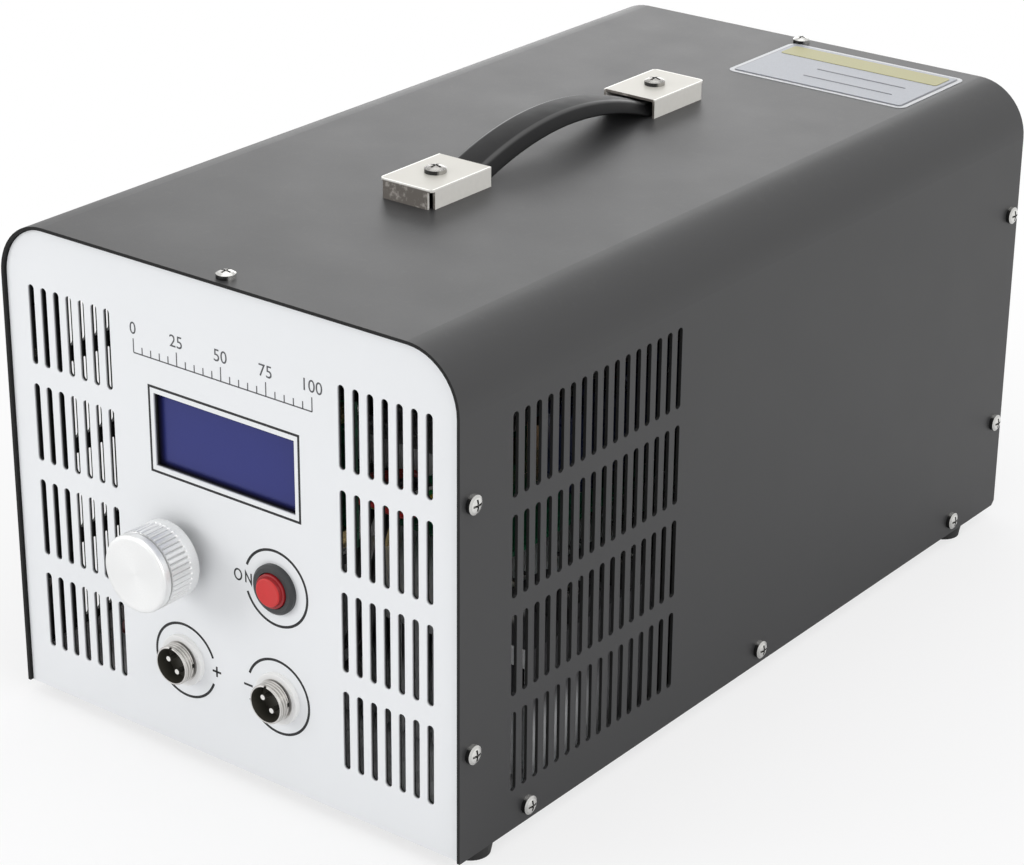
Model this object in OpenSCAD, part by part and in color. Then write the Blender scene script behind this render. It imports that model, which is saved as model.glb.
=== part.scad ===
// Bench DC electronic load for battery capacity tests.
// Millimetres, +Z up, the front panel faces -Y, the origin is on the ground
// below the middle of the whole outline.

/* [Case] */
// Outer width of the wrap cover
case_w = 168.3; // [150:0.1:190]
// Height of the wrap cover, bottom edge to top
case_h = 149.8; // [145:0.1:170]
// Depth of the wrap cover, front edge to rear edge
case_d = 294.4; // [290:0.1:330]
// Sheet thickness of the cover
sheet_t = 1; // [0.8:0.1:1.5]
// Outer radius of the two long top corners
corner_r = 17.5; // [14:0.5:26]
// Bevel at the rear bottom corner of each side
cover_bevel = 1.5; // [0.5:0.5:4]
// Gap between the cover and the panels and tray that it wraps
shell_gap = 0.3; // [0.2:0.05:0.5]

/* [Panels and tray] */
// Sheet thickness of the front and rear panels
panel_t = 1.2; // [1:0.1:2]
// How far each panel sits behind the cover's edge
panel_recess = 1; // [0.5:0.1:2]
// Depth of the folded flanges on the panels
flange_d = 12; // [10:1:16]
// Height of the side flanges' lower end above the case bottom
side_flange_low = 20; // [16:1:26]
// Height of the side flanges' upper end above the case bottom
side_flange_high = 120; // [115:1:124]
// Width of the flange along the top edge
top_flange_w = 60; // [40:1:90]
// Width of the flange along the bottom edge
bottom_flange_w = 112; // [100:1:124]
// Sheet thickness of the base tray
tray_t = 1.2; // [1:0.1:2]
// Height of the tray's side walls
tray_wall_h = 10; // [8:1:14]

/* [Vent slots] */
// Width of a vent slot
slot_w = 2.4; // [1.6:0.1:3]
// Spacing of the slot columns
slot_pitch = 5; // [4.4:0.1:5.4]
// Length of a front slot
front_slot_l = 24.6; // [20:0.2:27]
// Spacing of the front slot rows
front_row_pitch = 30.6; // [28:0.2:32]
// Columns in each front slot field
front_slot_cols = 7; // [3:1:8]
// Distance of each front slot field's middle from the case side
front_field_inset = 25.9; // [24:0.1:27]
// Height of the front slot fields' middle above the case bottom
front_field_z = 72.8; // [70:0.1:76]
// Length of a side slot
side_slot_l = 24.8; // [20:0.2:27]
// Spacing of the side slot rows
side_row_pitch = 29.9; // [28:0.1:31]
// Columns in each side slot field
side_slot_cols = 16; // [4:1:18]
// Distance of the right side's first slot column from the cover's front edge
side_field_y = 23.5; // [22:0.1:30]
// Distance of the left side's first slot column from the cover's front edge
left_field_y = 24.8; // [22:0.1:30]
// Height of the side slot fields' middle above the case bottom
side_field_z = 69.7; // [67:0.1:74]
// Rows in every slot field
slot_rows = 4; // [2:1:4]

/* [Case screws] */
// Shank diameter of the case screws
screw_d = 3; // [2.5:0.1:3.5]
// Head diameter of the case screws
screw_head_d = 5.6; // [5:0.1:7]
// Head height of the case screws
screw_head_h = 2.1; // [1.6:0.1:2.6]
// Length of the case screws under the head
screw_l = 6; // [5:0.5:7]
// Radial clearance of a screw in its hole
screw_fit = 0.1; // [0.05:0.05:0.3]
// Distance of the end screws on the sides from the cover's edge
end_screw_inset = 5.1; // [4.6:0.1:9]
// Distance of the top screws from the cover's edge
top_screw_inset = 4.4; // [4.4:0.1:7]
// Height of the lower end screws above the case bottom
end_screw_low = 32.6; // [26:0.1:40]
// Height of the upper end screws above the case bottom
end_screw_high = 107.1; // [100:0.1:112]
// Height of the bottom row of side screws above the case bottom
tray_screw_z = 5.1; // [4:0.1:6]
// Spacing of the bottom row of side screws
tray_screw_pitch = 117; // [105:1:122]

/* [Feet] */
// Height of a rubber foot
foot_h = 4; // [3.6:0.2:8]
// Diameter of a rubber foot at the tray
foot_d = 13; // [11:0.5:13]
// Diameter of a rubber foot at the ground
foot_tip_d = 11.5; // [10:0.5:12]
// Distance of the feet from the case sides
foot_side_inset = 6.6; // [6.6:0.2:14]
// Distance of the front feet from the cover's front edge
foot_front_inset = 13; // [12:0.5:20]
// Distance of the rear feet from the cover's rear edge
foot_rear_inset = 23.5; // [20:0.5:40]

/* [Handle] */
// Spacing of the two handle screws
handle_pitch = 110; // [100:1:125]
// Distance of the handle's middle behind the case's middle
handle_shift = 1.4; // [0:0.1:4]
// Length of a handle cap
cap_l = 27.5; // [22:0.5:30]
// Width of a handle cap
cap_w = 19.5; // [19:0.5:24]
// Height of a handle cap
cap_h = 6.1; // [5.4:0.1:7]
// Sheet thickness of a handle cap
cap_t = 0.8; // [0.6:0.1:1]
// Open slit at the outer corners of a handle cap
cap_slit = 0.7; // [0.4:0.1:1.2]
// Width of the strap along its bottom
strap_w = 15.5; // [12:0.5:17]
// Width of the strap's flat top, between its bevelled sides
strap_top_w = 10.4; // [8:0.2:12]
// Thickness of the strap
strap_t = 4.2; // [3.4:0.1:4.4]
// Gap between the strap and the metal that holds it
strap_gap = 0.2; // [0.1:0.05:0.4]
// Rise of the strap's arch
strap_rise = 7.8; // [5:0.2:14]
// Shank diameter of the handle screws
handle_screw_d = 4; // [3:0.5:5]
// Head diameter of the handle screws
handle_head_d = 6.6; // [6:0.2:8]

/* [Display] */
// Width of the display window
window_w = 52.3; // [46:0.1:56]
// Height of the display window
window_h = 22.2; // [18:0.1:25]
// Height of the display window's middle above the case bottom
window_z = 99; // [97:0.1:102]
// Depth of the display glass behind the panel's face
glass_depth = 2.2; // [2:0.1:4]
// Thickness of the display glass
glass_t = 2.2; // [1.6:0.1:3]
// Margin of the glass around the window
glass_margin = 3; // [2:0.5:4]
// Wall of the display frame
frame_wall = 1.6; // [1:0.1:2.5]
// Distance of the control board behind the panel's face
board_depth = 11; // [10:0.5:14]
// Thickness of the circuit boards
board_t = 1.6; // [1.2:0.1:2]
// Half width of the control board
board_half_w = 38; // [37.5:0.5:39.5]

/* [Controls] */
// Sideways place of the knob, the button and the sockets
control_x = 18.2; // [17.4:0.1:19]
// Height of the knob and the button above the case bottom
control_z = 63.1; // [62:0.1:65]
// Diameter of the knob
knob_d = 23.4; // [20:0.2:25]
// Length of the knob
knob_l = 14.6; // [12:0.2:18]
// Gap between the knob and the panel
knob_gap = 3.9; // [3.6:0.1:6]
// Number of flutes on the knob
knob_flutes = 44; // [24:1:60]
// Diameter of the encoder's shaft
shaft_d = 6; // [5:0.1:6.2]
// Running clearance of the shaft, on the radius
shaft_fit = 0.05; // [0.02:0.01:0.1]
// Diameter of the encoder's threaded bushing
bushing_d = 7.2; // [7:0.1:8]
// Push travel of the encoder
encoder_travel = 0.5; // [0.3:0.1:1]
// Diameter of the push button's bezel
bezel_d = 15; // [14.6:0.2:17]
// Height of the push button's bezel
bezel_h = 2; // [1.4:0.1:3]
// Diameter of the push button's cap
button_d = 10.3; // [9:0.1:10.6]
// Height of the cap's face above the panel
button_proud = 3.8; // [3.5:0.1:6]
// Travel of the push button
button_travel = 2; // [1:0.1:2.4]
// Clearance round the button cap, on the radius
button_gap = 0.3; // [0.2:0.05:0.4]

/* [Sockets] */
// Height of the sockets above the case bottom
socket_z = 28.8; // [28:0.1:31]
// Diameter of a socket's threaded shell
socket_d = 12; // [11:0.1:12.6]
// Bore of a socket's shell
socket_bore_d = 10.6; // [9.6:0.1:10.8]
// Flange diameter of a socket
socket_flange_d = 15.6; // [14.5:0.1:17]
// Flange thickness of a socket
socket_flange_t = 1.6; // [1:0.1:2.2]
// Height of a socket's rim above the panel
socket_proud = 5.7; // [5:0.1:8]
// Depth of the insulator's face below the rim
insert_depth = 4.6; // [4.2:0.1:6]
// Diameter of a socket pin
pin_d = 1.6; // [1:0.1:2]
// Spacing of the two pins of a socket
pin_pitch = 4.5; // [4:0.1:5.2]

/* [Inside] */
// Width of the heat sink
sink_w = 82; // [70:1:86]
// Height of the heat sink
sink_h = 44; // [38:1:48]
// Length of the heat sink
sink_l = 190; // [180:1:200]
// Gap between the heat sink and the right side of the case
sink_side_gap = 8.5; // [8:0.5:11]
// Distance of the heat sink's front from the cover's front edge
sink_y = 42; // [38:1:48]
// Number of fins on the heat sink
sink_fins = 13; // [8:1:16]
// Thickness of a fin
fin_t = 2; // [1.2:0.1:2.6]
// Number of power transistors
transistors = 6; // [3:1:7]
// Width of the power board
power_board_w = 52; // [46:1:54]
// Length of the power board
power_board_l = 130; // [126:1:140]
// Height of the power board above the heat sink
power_board_z = 10; // [8:0.5:13]
// Width of the mains supply's case
supply_w = 46; // [42:1:48]
// Length of the mains supply's case
supply_l = 148; // [130:1:152]
// Height of the mains supply's case
supply_h = 38; // [30:1:42]

/* [Rear] */
// Side of the fan's square frame
fan_size = 80; // [76:1:82]
// Depth of the fan's frame
fan_depth = 25; // [22:0.5:28]
// Distance of the fan's middle from the right side of the case
fan_side_inset = 49.5; // [47.5:0.5:51]
// Height of the fan's middle above the case bottom
fan_z = 64; // [62:0.5:80]
// Diameter of the fan's hub
hub_d = 32; // [28:0.5:36]
// Number of fan blades
fan_blades = 7; // [5:1:9]
// Gap between the blades and the frame
blade_gap = 1; // [0.8:0.1:1.6]
// Wire diameter of the fan guard
guard_wire = 1.8; // [1.4:0.1:2.4]
// Distance of the mains inlet's middle from the left side of the case
inlet_side_inset = 37.5; // [36:0.5:39]
// Height of the mains inlet's middle above the case bottom
inlet_z = 88; // [84:0.5:96]
// Width of the mains inlet's plate between the ears
inlet_w = 34; // [33:0.5:38]
// Height of the mains inlet's plate
inlet_h = 60; // [58:0.5:64]
// Thickness of the mains inlet's plate
inlet_t = 3; // [2.4:0.1:4]
// Depth of the mains inlet behind the rear panel's face
inlet_depth = 30; // [26:0.5:34]
// Spacing of the two inlet screws
inlet_screw_pitch = 40; // [39.6:0.2:44]
// How far the fuse drawer's lip stands off the inlet plate
drawer_lip = 4; // [3:0.2:6]

/* [Hidden] */
$fn = 64;

// Overshoot of a cut past the face that it opens
cut = 0.2;
// Seating gap between round pieces of one body
seat = 0.05;

// Overall reach, which puts the origin below the middle of the outline
front_reach = knob_gap + knob_l - panel_recess;
rear_reach = inlet_t + drawer_lip - panel_recess;
front_y = (front_reach - rear_reach - case_d) / 2;
rear_y = front_y + case_d;
panel_y = front_y + panel_recess;
rear_panel_y = rear_y - panel_recess;
mid_y = front_y + case_d / 2;
top_z = foot_h + case_h;
wall_h = case_h - corner_r;
front_field_x = case_w / 2 - front_field_inset;
fan_x = case_w / 2 - fan_side_inset;
inlet_x = inlet_side_inset - case_w / 2;
sink_x = case_w / 2 - sink_side_gap - sink_w / 2;

// Panels and tray
wrap = sheet_t + shell_gap;
panel_w = case_w - 2 * wrap;
panel_h = case_h - wrap;
panel_r = corner_r - wrap;
tray_y = panel_y + panel_t + shell_gap;
tray_d = rear_panel_y - panel_t - shell_gap - tray_y;
floor_z = foot_h + tray_t;
panel_screw_end = 12;
panel_screw_x = bottom_flange_w / 2 - panel_screw_end;
panel_screw_inset = panel_recess + flange_d / 2 + 1;

// Handle
handle_y = mid_y + handle_shift;
strap_mouth = handle_pitch / 2 - cap_l / 2;
strap_end = handle_pitch / 2 + cap_l / 2 - cap_t - strap_gap;
handle_nut_h = 3.2;
handle_head_h = 2.2;
handle_screw_l = cap_h + sheet_t + handle_nut_h + 1;

// Display and control board, measured outwards from the panel's face
glass_w = window_w + 2 * glass_margin;
glass_h = window_h + 2 * glass_margin;
frame_w = glass_w + 2 * frame_wall + 2 * seat;
frame_h = glass_h + 2 * frame_wall + 2 * seat;
board_top_z = window_z + frame_h / 2 + 6;
board_step_z = window_z - frame_h / 2 - 6;
board_below_control = 12;
board_low_z = control_z - board_below_control;
post_d = 5;
post_inset = 3.2;

// Encoder
encoder_w = 12.4;
encoder_h = 13.4;
encoder_depth = 6.5;
bushing_l = 5.5;
encoder_back = panel_t + encoder_depth;
cavity_d = 10.2;
cavity_wall = 0.8;
collar_d = 8.4;
collar_t = 1;
plunger_d = 9.4;
plunger_t = 1.4;
nut_h = 2;
nut_af = 10;
washer_t = 0.5;
washer_d = 11;
knob_front = knob_gap + knob_l;
shaft_front = knob_front - 3;
flat_depth = 0.8;
knob_recess_d = 17;
knob_recess = 2.6;
knob_chamfer = 0.8;
groove_back = 2.6;
groove_w = 0.9;
groove_depth = 0.5;
flute_back = 3.6;
flute_front = 3.6;
flute_d = 0.9;
set_screw_d = 3;
set_screw_at = knob_gap + knob_l / 2 - 1;

// Push button
barrel_wall = 0.7;
barrel_d = button_d + 2 * button_gap + 2 * barrel_wall;
barrel_depth = 22;
button_skirt = 5;
step_d = button_d - 1.8;
step_h = 1.1;
stem_d = 5;
spring_d = 7.6;
spring_wire = 0.7;
spring_turns = 5;
spring_low = barrel_depth - 6;
button_nut_h = 2.5;
button_nut_af = barrel_d + 3;

// Sockets
socket_depth = 9;
socket_nut_h = 2.5;
socket_nut_af = socket_d + 3;
pin_short = 0.65;
cup_d = pin_d + 0.8;
cup_l = 5;
key_w = 1.6;
key_depth = 1.4;

// Heat sink and power stage
sink_foot = 2;
sink_base_t = 6;
sink_back = front_y + sink_y;
sink_top = floor_z + sink_h;
fin_pitch = (sink_w - fin_t) / (sink_fins - 1);
transistor_w = 15.9;
transistor_l = 20.8;
transistor_t = 5;
transistor_pitch = 27;
transistor_x = sink_x + sink_w / 2 - transistor_l / 2 - 1.5;
transistor_y = sink_back + 28;
power_board_x = sink_x - sink_w / 2 + 2 + power_board_w / 2;
power_board_y = sink_back + 24;
power_board_bottom = sink_top + power_board_z;
power_board_top = power_board_bottom + board_t;
capacitor_d = 16;
capacitor_h = 25;
capacitor_pitch = 19;
shunt_l = 20;
shunt_w = 5;
shunt_h = 8;
shunt_t = 1.5;

// Mains supply
supply_x = -case_w / 2 + max(foot_side_inset + screw_d / 2, screw_l) + 1.5 + supply_w / 2;
supply_y = rear_panel_y - panel_t - 20 - supply_l;
supply_top = floor_z + supply_h;
terminal_l = 14;
terminal_h = 16;

// Fan
fan_bore = fan_size - 4;
fan_screw_pitch = fan_size - 8.5;
fan_screw_d = 4;
fan_screw_l = 12;
fan_hub_plate = 3;
axle_d = 3;
axle_fit = 0.06;
rotor_gap = 1;
blade_r = fan_bore / 2 - blade_gap;
vane_t = 1.6;
vane_camber_r = 24;
vane_w = 0.9 * PI * hub_d / fan_blades;
guard_ring_pitch = 8;
guard_rings = floor((fan_bore / 2 - hub_d / 2 + 6) / guard_ring_pitch);

// Mains inlet, measured outwards from the rear panel's face
inlet_body_w = inlet_w - 5;
inlet_body_h = inlet_h - 6;
inlet_ear_h = 12;
plug_w = 24.5;
plug_h = 17;
plug_bevel = 4;
plug_depth = 18;
plug_y = -inlet_body_h / 2 + 2.5 + plug_h / 2;
drawer_w = 22;
drawer_h = 8;
drawer_l = 18;
drawer_y = plug_y + plug_h / 2 + 2.5 + drawer_h / 2;
rocker_w = 20;
rocker_h = 13;
rocker_y = drawer_y + drawer_h / 2 + 3 + rocker_h / 2;
rocker_gap = 0.5;
rocker_tilt = 11;
rocker_axle_d = 3;
rocker_depth = 7;
blade_w = 2;
blade_h = 4;

// Leads and loom: each route starts at its solder point and ends on the power board
lead_d = 2.6;
loom_wire_d = 1.6;
lead_seat = 0.15;
lead_start = panel_recess + panel_t + socket_depth + cup_l + lead_seat;
lead_rise = power_board_top - foot_h - socket_z + lead_seat;
land_y = power_board_y - front_y - lead_start + 12;
plus_land = power_board_x - 20 + control_x;
minus_land = power_board_x - 14 - control_x;
plus_route = [[0, 0, 0], [0, 2, 0], [0, 6, 0], [-14, 10, -6], [-34, 9, -13], [-47, 10, -18], [-52, 20, -16],
    [-44, 34, 2], [-18, 46, 24], [8, 55, 34], [plus_land, land_y, lead_rise + 8],
    [plus_land, land_y, lead_rise + 4], [plus_land, land_y, lead_rise]];
minus_route = [[0, 0, 0], [0, 2, 0], [0, 6, 0], [4, 12, 6], [4, 17, 14], [0, 22, 23], [-6, 34, 32], [-12, 48, 36],
    [minus_land, land_y - 3, lead_rise + 8], [minus_land, land_y, lead_rise + 6],
    [minus_land, land_y, lead_rise + 3], [minus_land, land_y, lead_rise]];
loom_start = panel_recess + board_depth + board_t + lead_seat;
loom_x = 14.5;
loom_z = window_z - 14;
loom_drop = power_board_top - foot_h - loom_z + lead_seat;
loom_route = [[0, 0, 0], [0, 2, 0], [0, 6, 0], [4, 16, -4], [3, 30, -13], [0, 44, -18], [0, 58, -19],
    [0, 66, loom_drop + 6], [0, 66, loom_drop + 3], [0, 66, loom_drop]];
loom_wires = 5;
loom_pitch = 2.54;

// Placing helpers: local +Z points out of the named face, local +Y points up
module on_front(x, z) {
    translate([x, panel_y, foot_h + z]) rotate([90, 0, 0]) children();
}

module on_rear(x, z) {
    translate([x, rear_panel_y, foot_h + z]) rotate([90, 0, 180]) children();
}

module on_right(y, z) {
    translate([case_w / 2, front_y + y, foot_h + z]) rotate([90, 0, 90]) children();
}

module both_sides() {
    children();
    mirror([1, 0, 0]) children();
}

// A round tube between two levels of a local Z axis
module tube(d, bore, low, high) {
    translate([0, 0, low]) difference() {
        cylinder(d = d, h = high - low);
        translate([0, 0, -cut]) cylinder(d = bore, h = high - low + 2 * cut);
    }
}

// A solid round bar between two levels of a local Z axis
module bar(d, low, high) {
    translate([0, 0, low]) cylinder(d = d, h = high - low);
}

// A six-sided nut between two levels of a local Z axis
module hex_nut(af, bore, low, high) {
    translate([0, 0, low]) difference() {
        cylinder(d = af / cos(30), h = high - low, $fn = 6);
        translate([0, 0, -cut]) cylinder(d = bore, h = high - low + 2 * cut);
    }
}

// A pan head screw whose head sits on local Z = 0
module pan_screw(d, head_d, head_h, length) {
    dome = head_d * 0.9;
    difference() {
        union() {
            intersection() {
                cylinder(d = head_d, h = head_h);
                translate([0, 0, head_h - dome]) sphere(r = dome);
            }
            translate([0, 0, -length]) cylinder(d = d, h = length + head_h / 2);
        }
        for (turn = [0, 90])
            rotate(turn) translate([-head_d * 0.3, -head_d * 0.06, head_h * 0.45])
                cube([head_d * 0.6, head_d * 0.12, head_h]);
    }
}

// A flat slot with round ends
module slot_outline(w, l) {
    square([w, l - w], center = true);
    for (end = [-1, 1]) translate([0, end * (l - w) / 2]) circle(d = w);
}

// A field of upright slots about its middle
module slot_field(cols, l, row_pitch) {
    for (c = [0 : cols - 1], r = [0 : slot_rows - 1])
        translate([(c - (cols - 1) / 2) * slot_pitch, (r - (slot_rows - 1) / 2) * row_pitch])
            slot_outline(slot_w, l);
}

// Points along a smooth curve through a list of points
function blend(p, i, t) =
    let (a = p[max(i - 1, 0)], b = p[i], c = p[i + 1], d = p[min(i + 2, len(p) - 1)])
    0.5 * ((2 * b) + (c - a) * t + (2 * a - 5 * b + 4 * c - d) * t * t
        + (3 * b - a - 3 * c + d) * t * t * t);
function smooth(p, steps) = concat(
    [for (i = [0 : len(p) - 2], s = [0 : steps - 1]) blend(p, i, s / steps)], [p[len(p) - 1]]);
function unit(v) = v / norm(v);

// A closed tube of round wire along points
module wire(points, d, sides = 8) {
    n = len(points);
    tangent = [for (i = [0 : n - 1]) unit(points[min(i + 1, n - 1)] - points[max(i - 1, 0)])];
    side = [for (t = tangent) unit(cross(t, abs(t[2]) < 0.9 ? [0, 0, 1] : [1, 0, 0]))];
    rings = [for (i = [0 : n - 1], k = [0 : sides - 1])
        points[i] + d / 2 * (cos(360 * k / sides) * side[i]
            + sin(360 * k / sides) * cross(tangent[i], side[i]))];
    skin(rings, n, sides);
}

// Skins rings of equal count, each wound to the left about its way, into one closed solid
module skin(points, rings, sides) {
    walls = [for (i = [0 : rings - 2], k = [0 : sides - 1])
        let (a = i * sides + k, b = i * sides + (k + 1) % sides)
        [a, a + sides, b + sides, b]];
    first = [for (k = [0 : sides - 1]) k];
    last = [for (k = [sides - 1 : -1 : 0]) (rings - 1) * sides + k];
    polyhedron(points, concat(walls, [first, last]), convexity = 10);
}

// Cover
// Outline of the bent wrap: flat at the bottom, two round corners at the top
module wrap_outline(w, h, r) {
    translate([-w / 2, 0]) square([w, h - r]);
    translate([r - w / 2, 0]) square([w - 2 * r, h]);
    for (s = [-1, 1]) translate([s * (w / 2 - r), h - r]) circle(r);
}

// Slots, screw holes and the rear bevel of one side
module cover_side_cuts(first_slot) {
    field_mid = first_slot + (side_slot_cols - 1) * slot_pitch / 2;
    translate([field_mid, side_field_z]) slot_field(side_slot_cols, side_slot_l, side_row_pitch);
    for (p = side_screw_places) translate(p) circle(d = screw_d + 2 * screw_fit);
    translate([case_d, 0]) polygon([[-cover_bevel - cut, -cut], [cut, -cut], [cut, cover_bevel + cut]]);
}

module cover_side_cut(first_slot) {
    on_right(0, 0) translate([0, 0, -2 * sheet_t]) linear_extrude(3 * sheet_t) cover_side_cuts(first_slot);
}

side_screw_places = concat(
    [for (y = [end_screw_inset, case_d - end_screw_inset], z = [end_screw_low, end_screw_high]) [y, z]],
    [for (k = [-1 : 1]) [case_d / 2 + k * tray_screw_pitch, tray_screw_z]]);
top_screw_ys = [front_y + top_screw_inset, rear_y - top_screw_inset];
handle_ys = [handle_y - handle_pitch / 2, handle_y + handle_pitch / 2];

module cover() {
    inner_r = corner_r - sheet_t;
    color([0.2, 0.2, 0.21]) difference() {
        translate([0, rear_y, foot_h]) rotate([90, 0, 0]) linear_extrude(case_d) difference() {
            wrap_outline(case_w, case_h, corner_r);
            wrap_outline(case_w - 2 * sheet_t, case_h - sheet_t, inner_r);
        }
        cover_side_cut(side_field_y);
        mirror([1, 0, 0]) cover_side_cut(left_field_y);
        translate([0, 0, top_z - 2 * sheet_t]) linear_extrude(3 * sheet_t) {
            for (y = top_screw_ys) translate([0, y]) circle(d = screw_d + 2 * screw_fit);
            for (y = handle_ys) translate([0, y]) circle(d = handle_screw_d + 2 * screw_fit);
        }
    }
}

// Panels
module panel_outline() {
    wrap_outline(panel_w, panel_h, panel_r);
}

// Folded flanges, drawn on a panel whose face is local Z = 0
module panel_flanges() {
    back = -flange_d;
    hole_d = screw_d + 2 * screw_fit;
    both_sides() difference() {
        translate([panel_w / 2 - panel_t, side_flange_low, back])
            cube([panel_t, side_flange_high - side_flange_low, flange_d]);
        for (z = [end_screw_low, end_screw_high])
            translate([panel_w / 2 - panel_t - cut, z, panel_recess - end_screw_inset]) rotate([0, 90, 0])
                cylinder(d = hole_d, h = panel_t + 2 * cut);
    }
    difference() {
        translate([-top_flange_w / 2, panel_h - panel_t, back]) cube([top_flange_w, panel_t, flange_d]);
        translate([0, panel_h + cut, panel_recess - top_screw_inset]) rotate([90, 0, 0])
            cylinder(d = hole_d, h = panel_t + 2 * cut);
    }
    difference() {
        translate([-bottom_flange_w / 2, tray_t, back]) cube([bottom_flange_w, panel_t, flange_d]);
        for (s = [-1, 1])
            translate([s * panel_screw_x, tray_t + panel_t + cut, panel_recess - panel_screw_inset])
                rotate([90, 0, 0]) cylinder(d = hole_d, h = panel_t + 2 * cut);
    }
}

module front_panel() {
    color([0.93, 0.94, 0.95]) on_front(0, 0) {
        translate([0, 0, -panel_t]) linear_extrude(panel_t) difference() {
            panel_outline();
            for (s = [-1, 1]) translate([s * front_field_x, front_field_z])
                slot_field(front_slot_cols, front_slot_l, front_row_pitch);
            translate([0, window_z]) square([window_w, window_h], center = true);
            translate([-control_x, control_z]) circle(d = bushing_d + 2 * seat);
            translate([control_x, control_z]) circle(d = barrel_d + 2 * seat);
            for (s = [-1, 1]) translate([s * control_x, socket_z]) circle(d = socket_d + 2 * seat);
        }
        panel_flanges();
    }
}

module rear_panel() {
    color([0.2, 0.2, 0.21]) on_rear(0, 0) {
        translate([0, 0, -panel_t]) linear_extrude(panel_t) difference() {
            panel_outline();
            translate([-fan_x, fan_z]) {
                circle(d = fan_bore);
                fan_corners() circle(d = fan_screw_d + 2 * screw_fit);
            }
            translate([-inlet_x, inlet_z]) {
                square([inlet_body_w + 2 * shell_gap, inlet_body_h + 2 * shell_gap], center = true);
                for (s = [-1, 1]) translate([s * inlet_screw_pitch / 2, 0]) circle(d = screw_d + 2 * screw_fit);
            }
        }
        panel_flanges();
    }
}

foot_places = [for (s = [-1, 1], y = [front_y + foot_front_inset, rear_y - foot_rear_inset])
    [s * (case_w / 2 - foot_side_inset), y]];
panel_screw_places = [for (s = [-1, 1], y = [front_y + panel_screw_inset, rear_y - panel_screw_inset])
    [s * panel_screw_x, y]];

module base_tray() {
    color([0.72, 0.73, 0.74]) {
        translate([0, 0, foot_h]) linear_extrude(tray_t) difference() {
            translate([-panel_w / 2, tray_y]) square([panel_w, tray_d]);
            for (p = concat(foot_places, panel_screw_places)) translate(p) circle(d = screw_d + 2 * screw_fit);
        }
        both_sides() difference() {
            translate([panel_w / 2 - tray_t, tray_y, floor_z]) cube([tray_t, tray_d, tray_wall_h - tray_t]);
            for (k = [-1 : 1]) translate([panel_w / 2 + cut, mid_y + k * tray_screw_pitch, foot_h + tray_screw_z])
                rotate([0, -90, 0]) cylinder(d = screw_d + 2 * screw_fit, h = tray_t + 2 * cut);
        }
    }
}

// Case fasteners and feet
module case_screw() {
    pan_screw(screw_d, screw_head_d, screw_head_h, screw_l);
}

module cover_screws() {
    color([0.8, 0.8, 0.78]) {
        both_sides() for (p = side_screw_places) on_right(p[0], p[1]) case_screw();
        for (y = top_screw_ys) translate([0, y, top_z]) case_screw();
    }
}

module panel_screws() {
    color([0.8, 0.8, 0.78]) for (p = panel_screw_places)
        translate([p[0], p[1], foot_h]) rotate([180, 0, 0]) case_screw();
}

module feet() {
    seat_h = 1.4;
    recess_d = screw_head_d + 1.4;
    color([0.1, 0.1, 0.1]) for (p = foot_places) translate([p[0], p[1], 0])
        rotate_extrude() polygon([
            [recess_d / 2, 0], [foot_tip_d / 2, 0], [foot_d / 2, foot_h], [screw_d / 2 + screw_fit, foot_h],
            [screw_d / 2 + screw_fit, foot_h - seat_h], [recess_d / 2, foot_h - seat_h]]);
}

module foot_screws() {
    seat_h = 1.4;
    color([0.8, 0.8, 0.78]) for (p = foot_places)
        translate([p[0], p[1], foot_h - seat_h]) rotate([180, 0, 0]) case_screw();
}

// Handle
module handle_cap(y, turn) {
    inner_w = cap_w - 2 * cap_t;
    end_w = inner_w - 2 * cap_slit;
    round_r = 1.6;
    color([0.86, 0.84, 0.8]) translate([0, y, top_z]) rotate(turn) {
        translate([0, 0, cap_h - cap_t]) linear_extrude(cap_t) difference() {
            square([cap_w, cap_l], center = true);
            for (s = [-1, 1]) translate([s * (cap_w / 2 - round_r), round_r - cap_l / 2]) difference() {
                translate([min(0, s * 2 * round_r), -2 * round_r]) square(2 * round_r);
                circle(round_r);
            }
            circle(d = handle_screw_d + 2 * screw_fit);
        }
        both_sides() translate([cap_w / 2 - cap_t, round_r - cap_l / 2, 0])
            cube([cap_t, cap_l - round_r, cap_h - cap_t]);
        translate([-end_w / 2, -cap_l / 2, 0]) cube([end_w, cap_t, cap_h - cap_t]);
    }
}

module handle_cap_front() {
    handle_cap(handle_ys[0], 0);
}

module handle_cap_rear() {
    handle_cap(handle_ys[1], 180);
}

// Half section of the strap, right bottom to right top: a bevelled side between round edges
strap_edge = 0.8;
strap_foot = 0.6;
strap_edge_steps = 3;
strap_lean = atan((strap_w - strap_top_w) / 2 / strap_t);
strap_half = concat(
    [for (a = [-90 : 30 : strap_lean])
        [strap_w / 2 - strap_foot + strap_foot * cos(a), strap_foot + strap_foot * sin(a)]],
    [for (k = [0 : strap_edge_steps]) let (a = strap_lean + k / strap_edge_steps * (90 - strap_lean))
        [strap_top_w / 2 - strap_edge / 2 + strap_edge * cos(a), strap_t - strap_edge + strap_edge * sin(a)]]);
strap_section = concat(strap_half, [for (i = [len(strap_half) - 1 : -1 : 0]) [-strap_half[i][0], strap_half[i][1]]]);
function strap_z(y) = strap_rise * max(0, 1 - pow(y / strap_mouth, 2));
function strap_slope(y) = abs(y) < strap_mouth ? atan(-2 * strap_rise * y / pow(strap_mouth, 2)) : 0;

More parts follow.
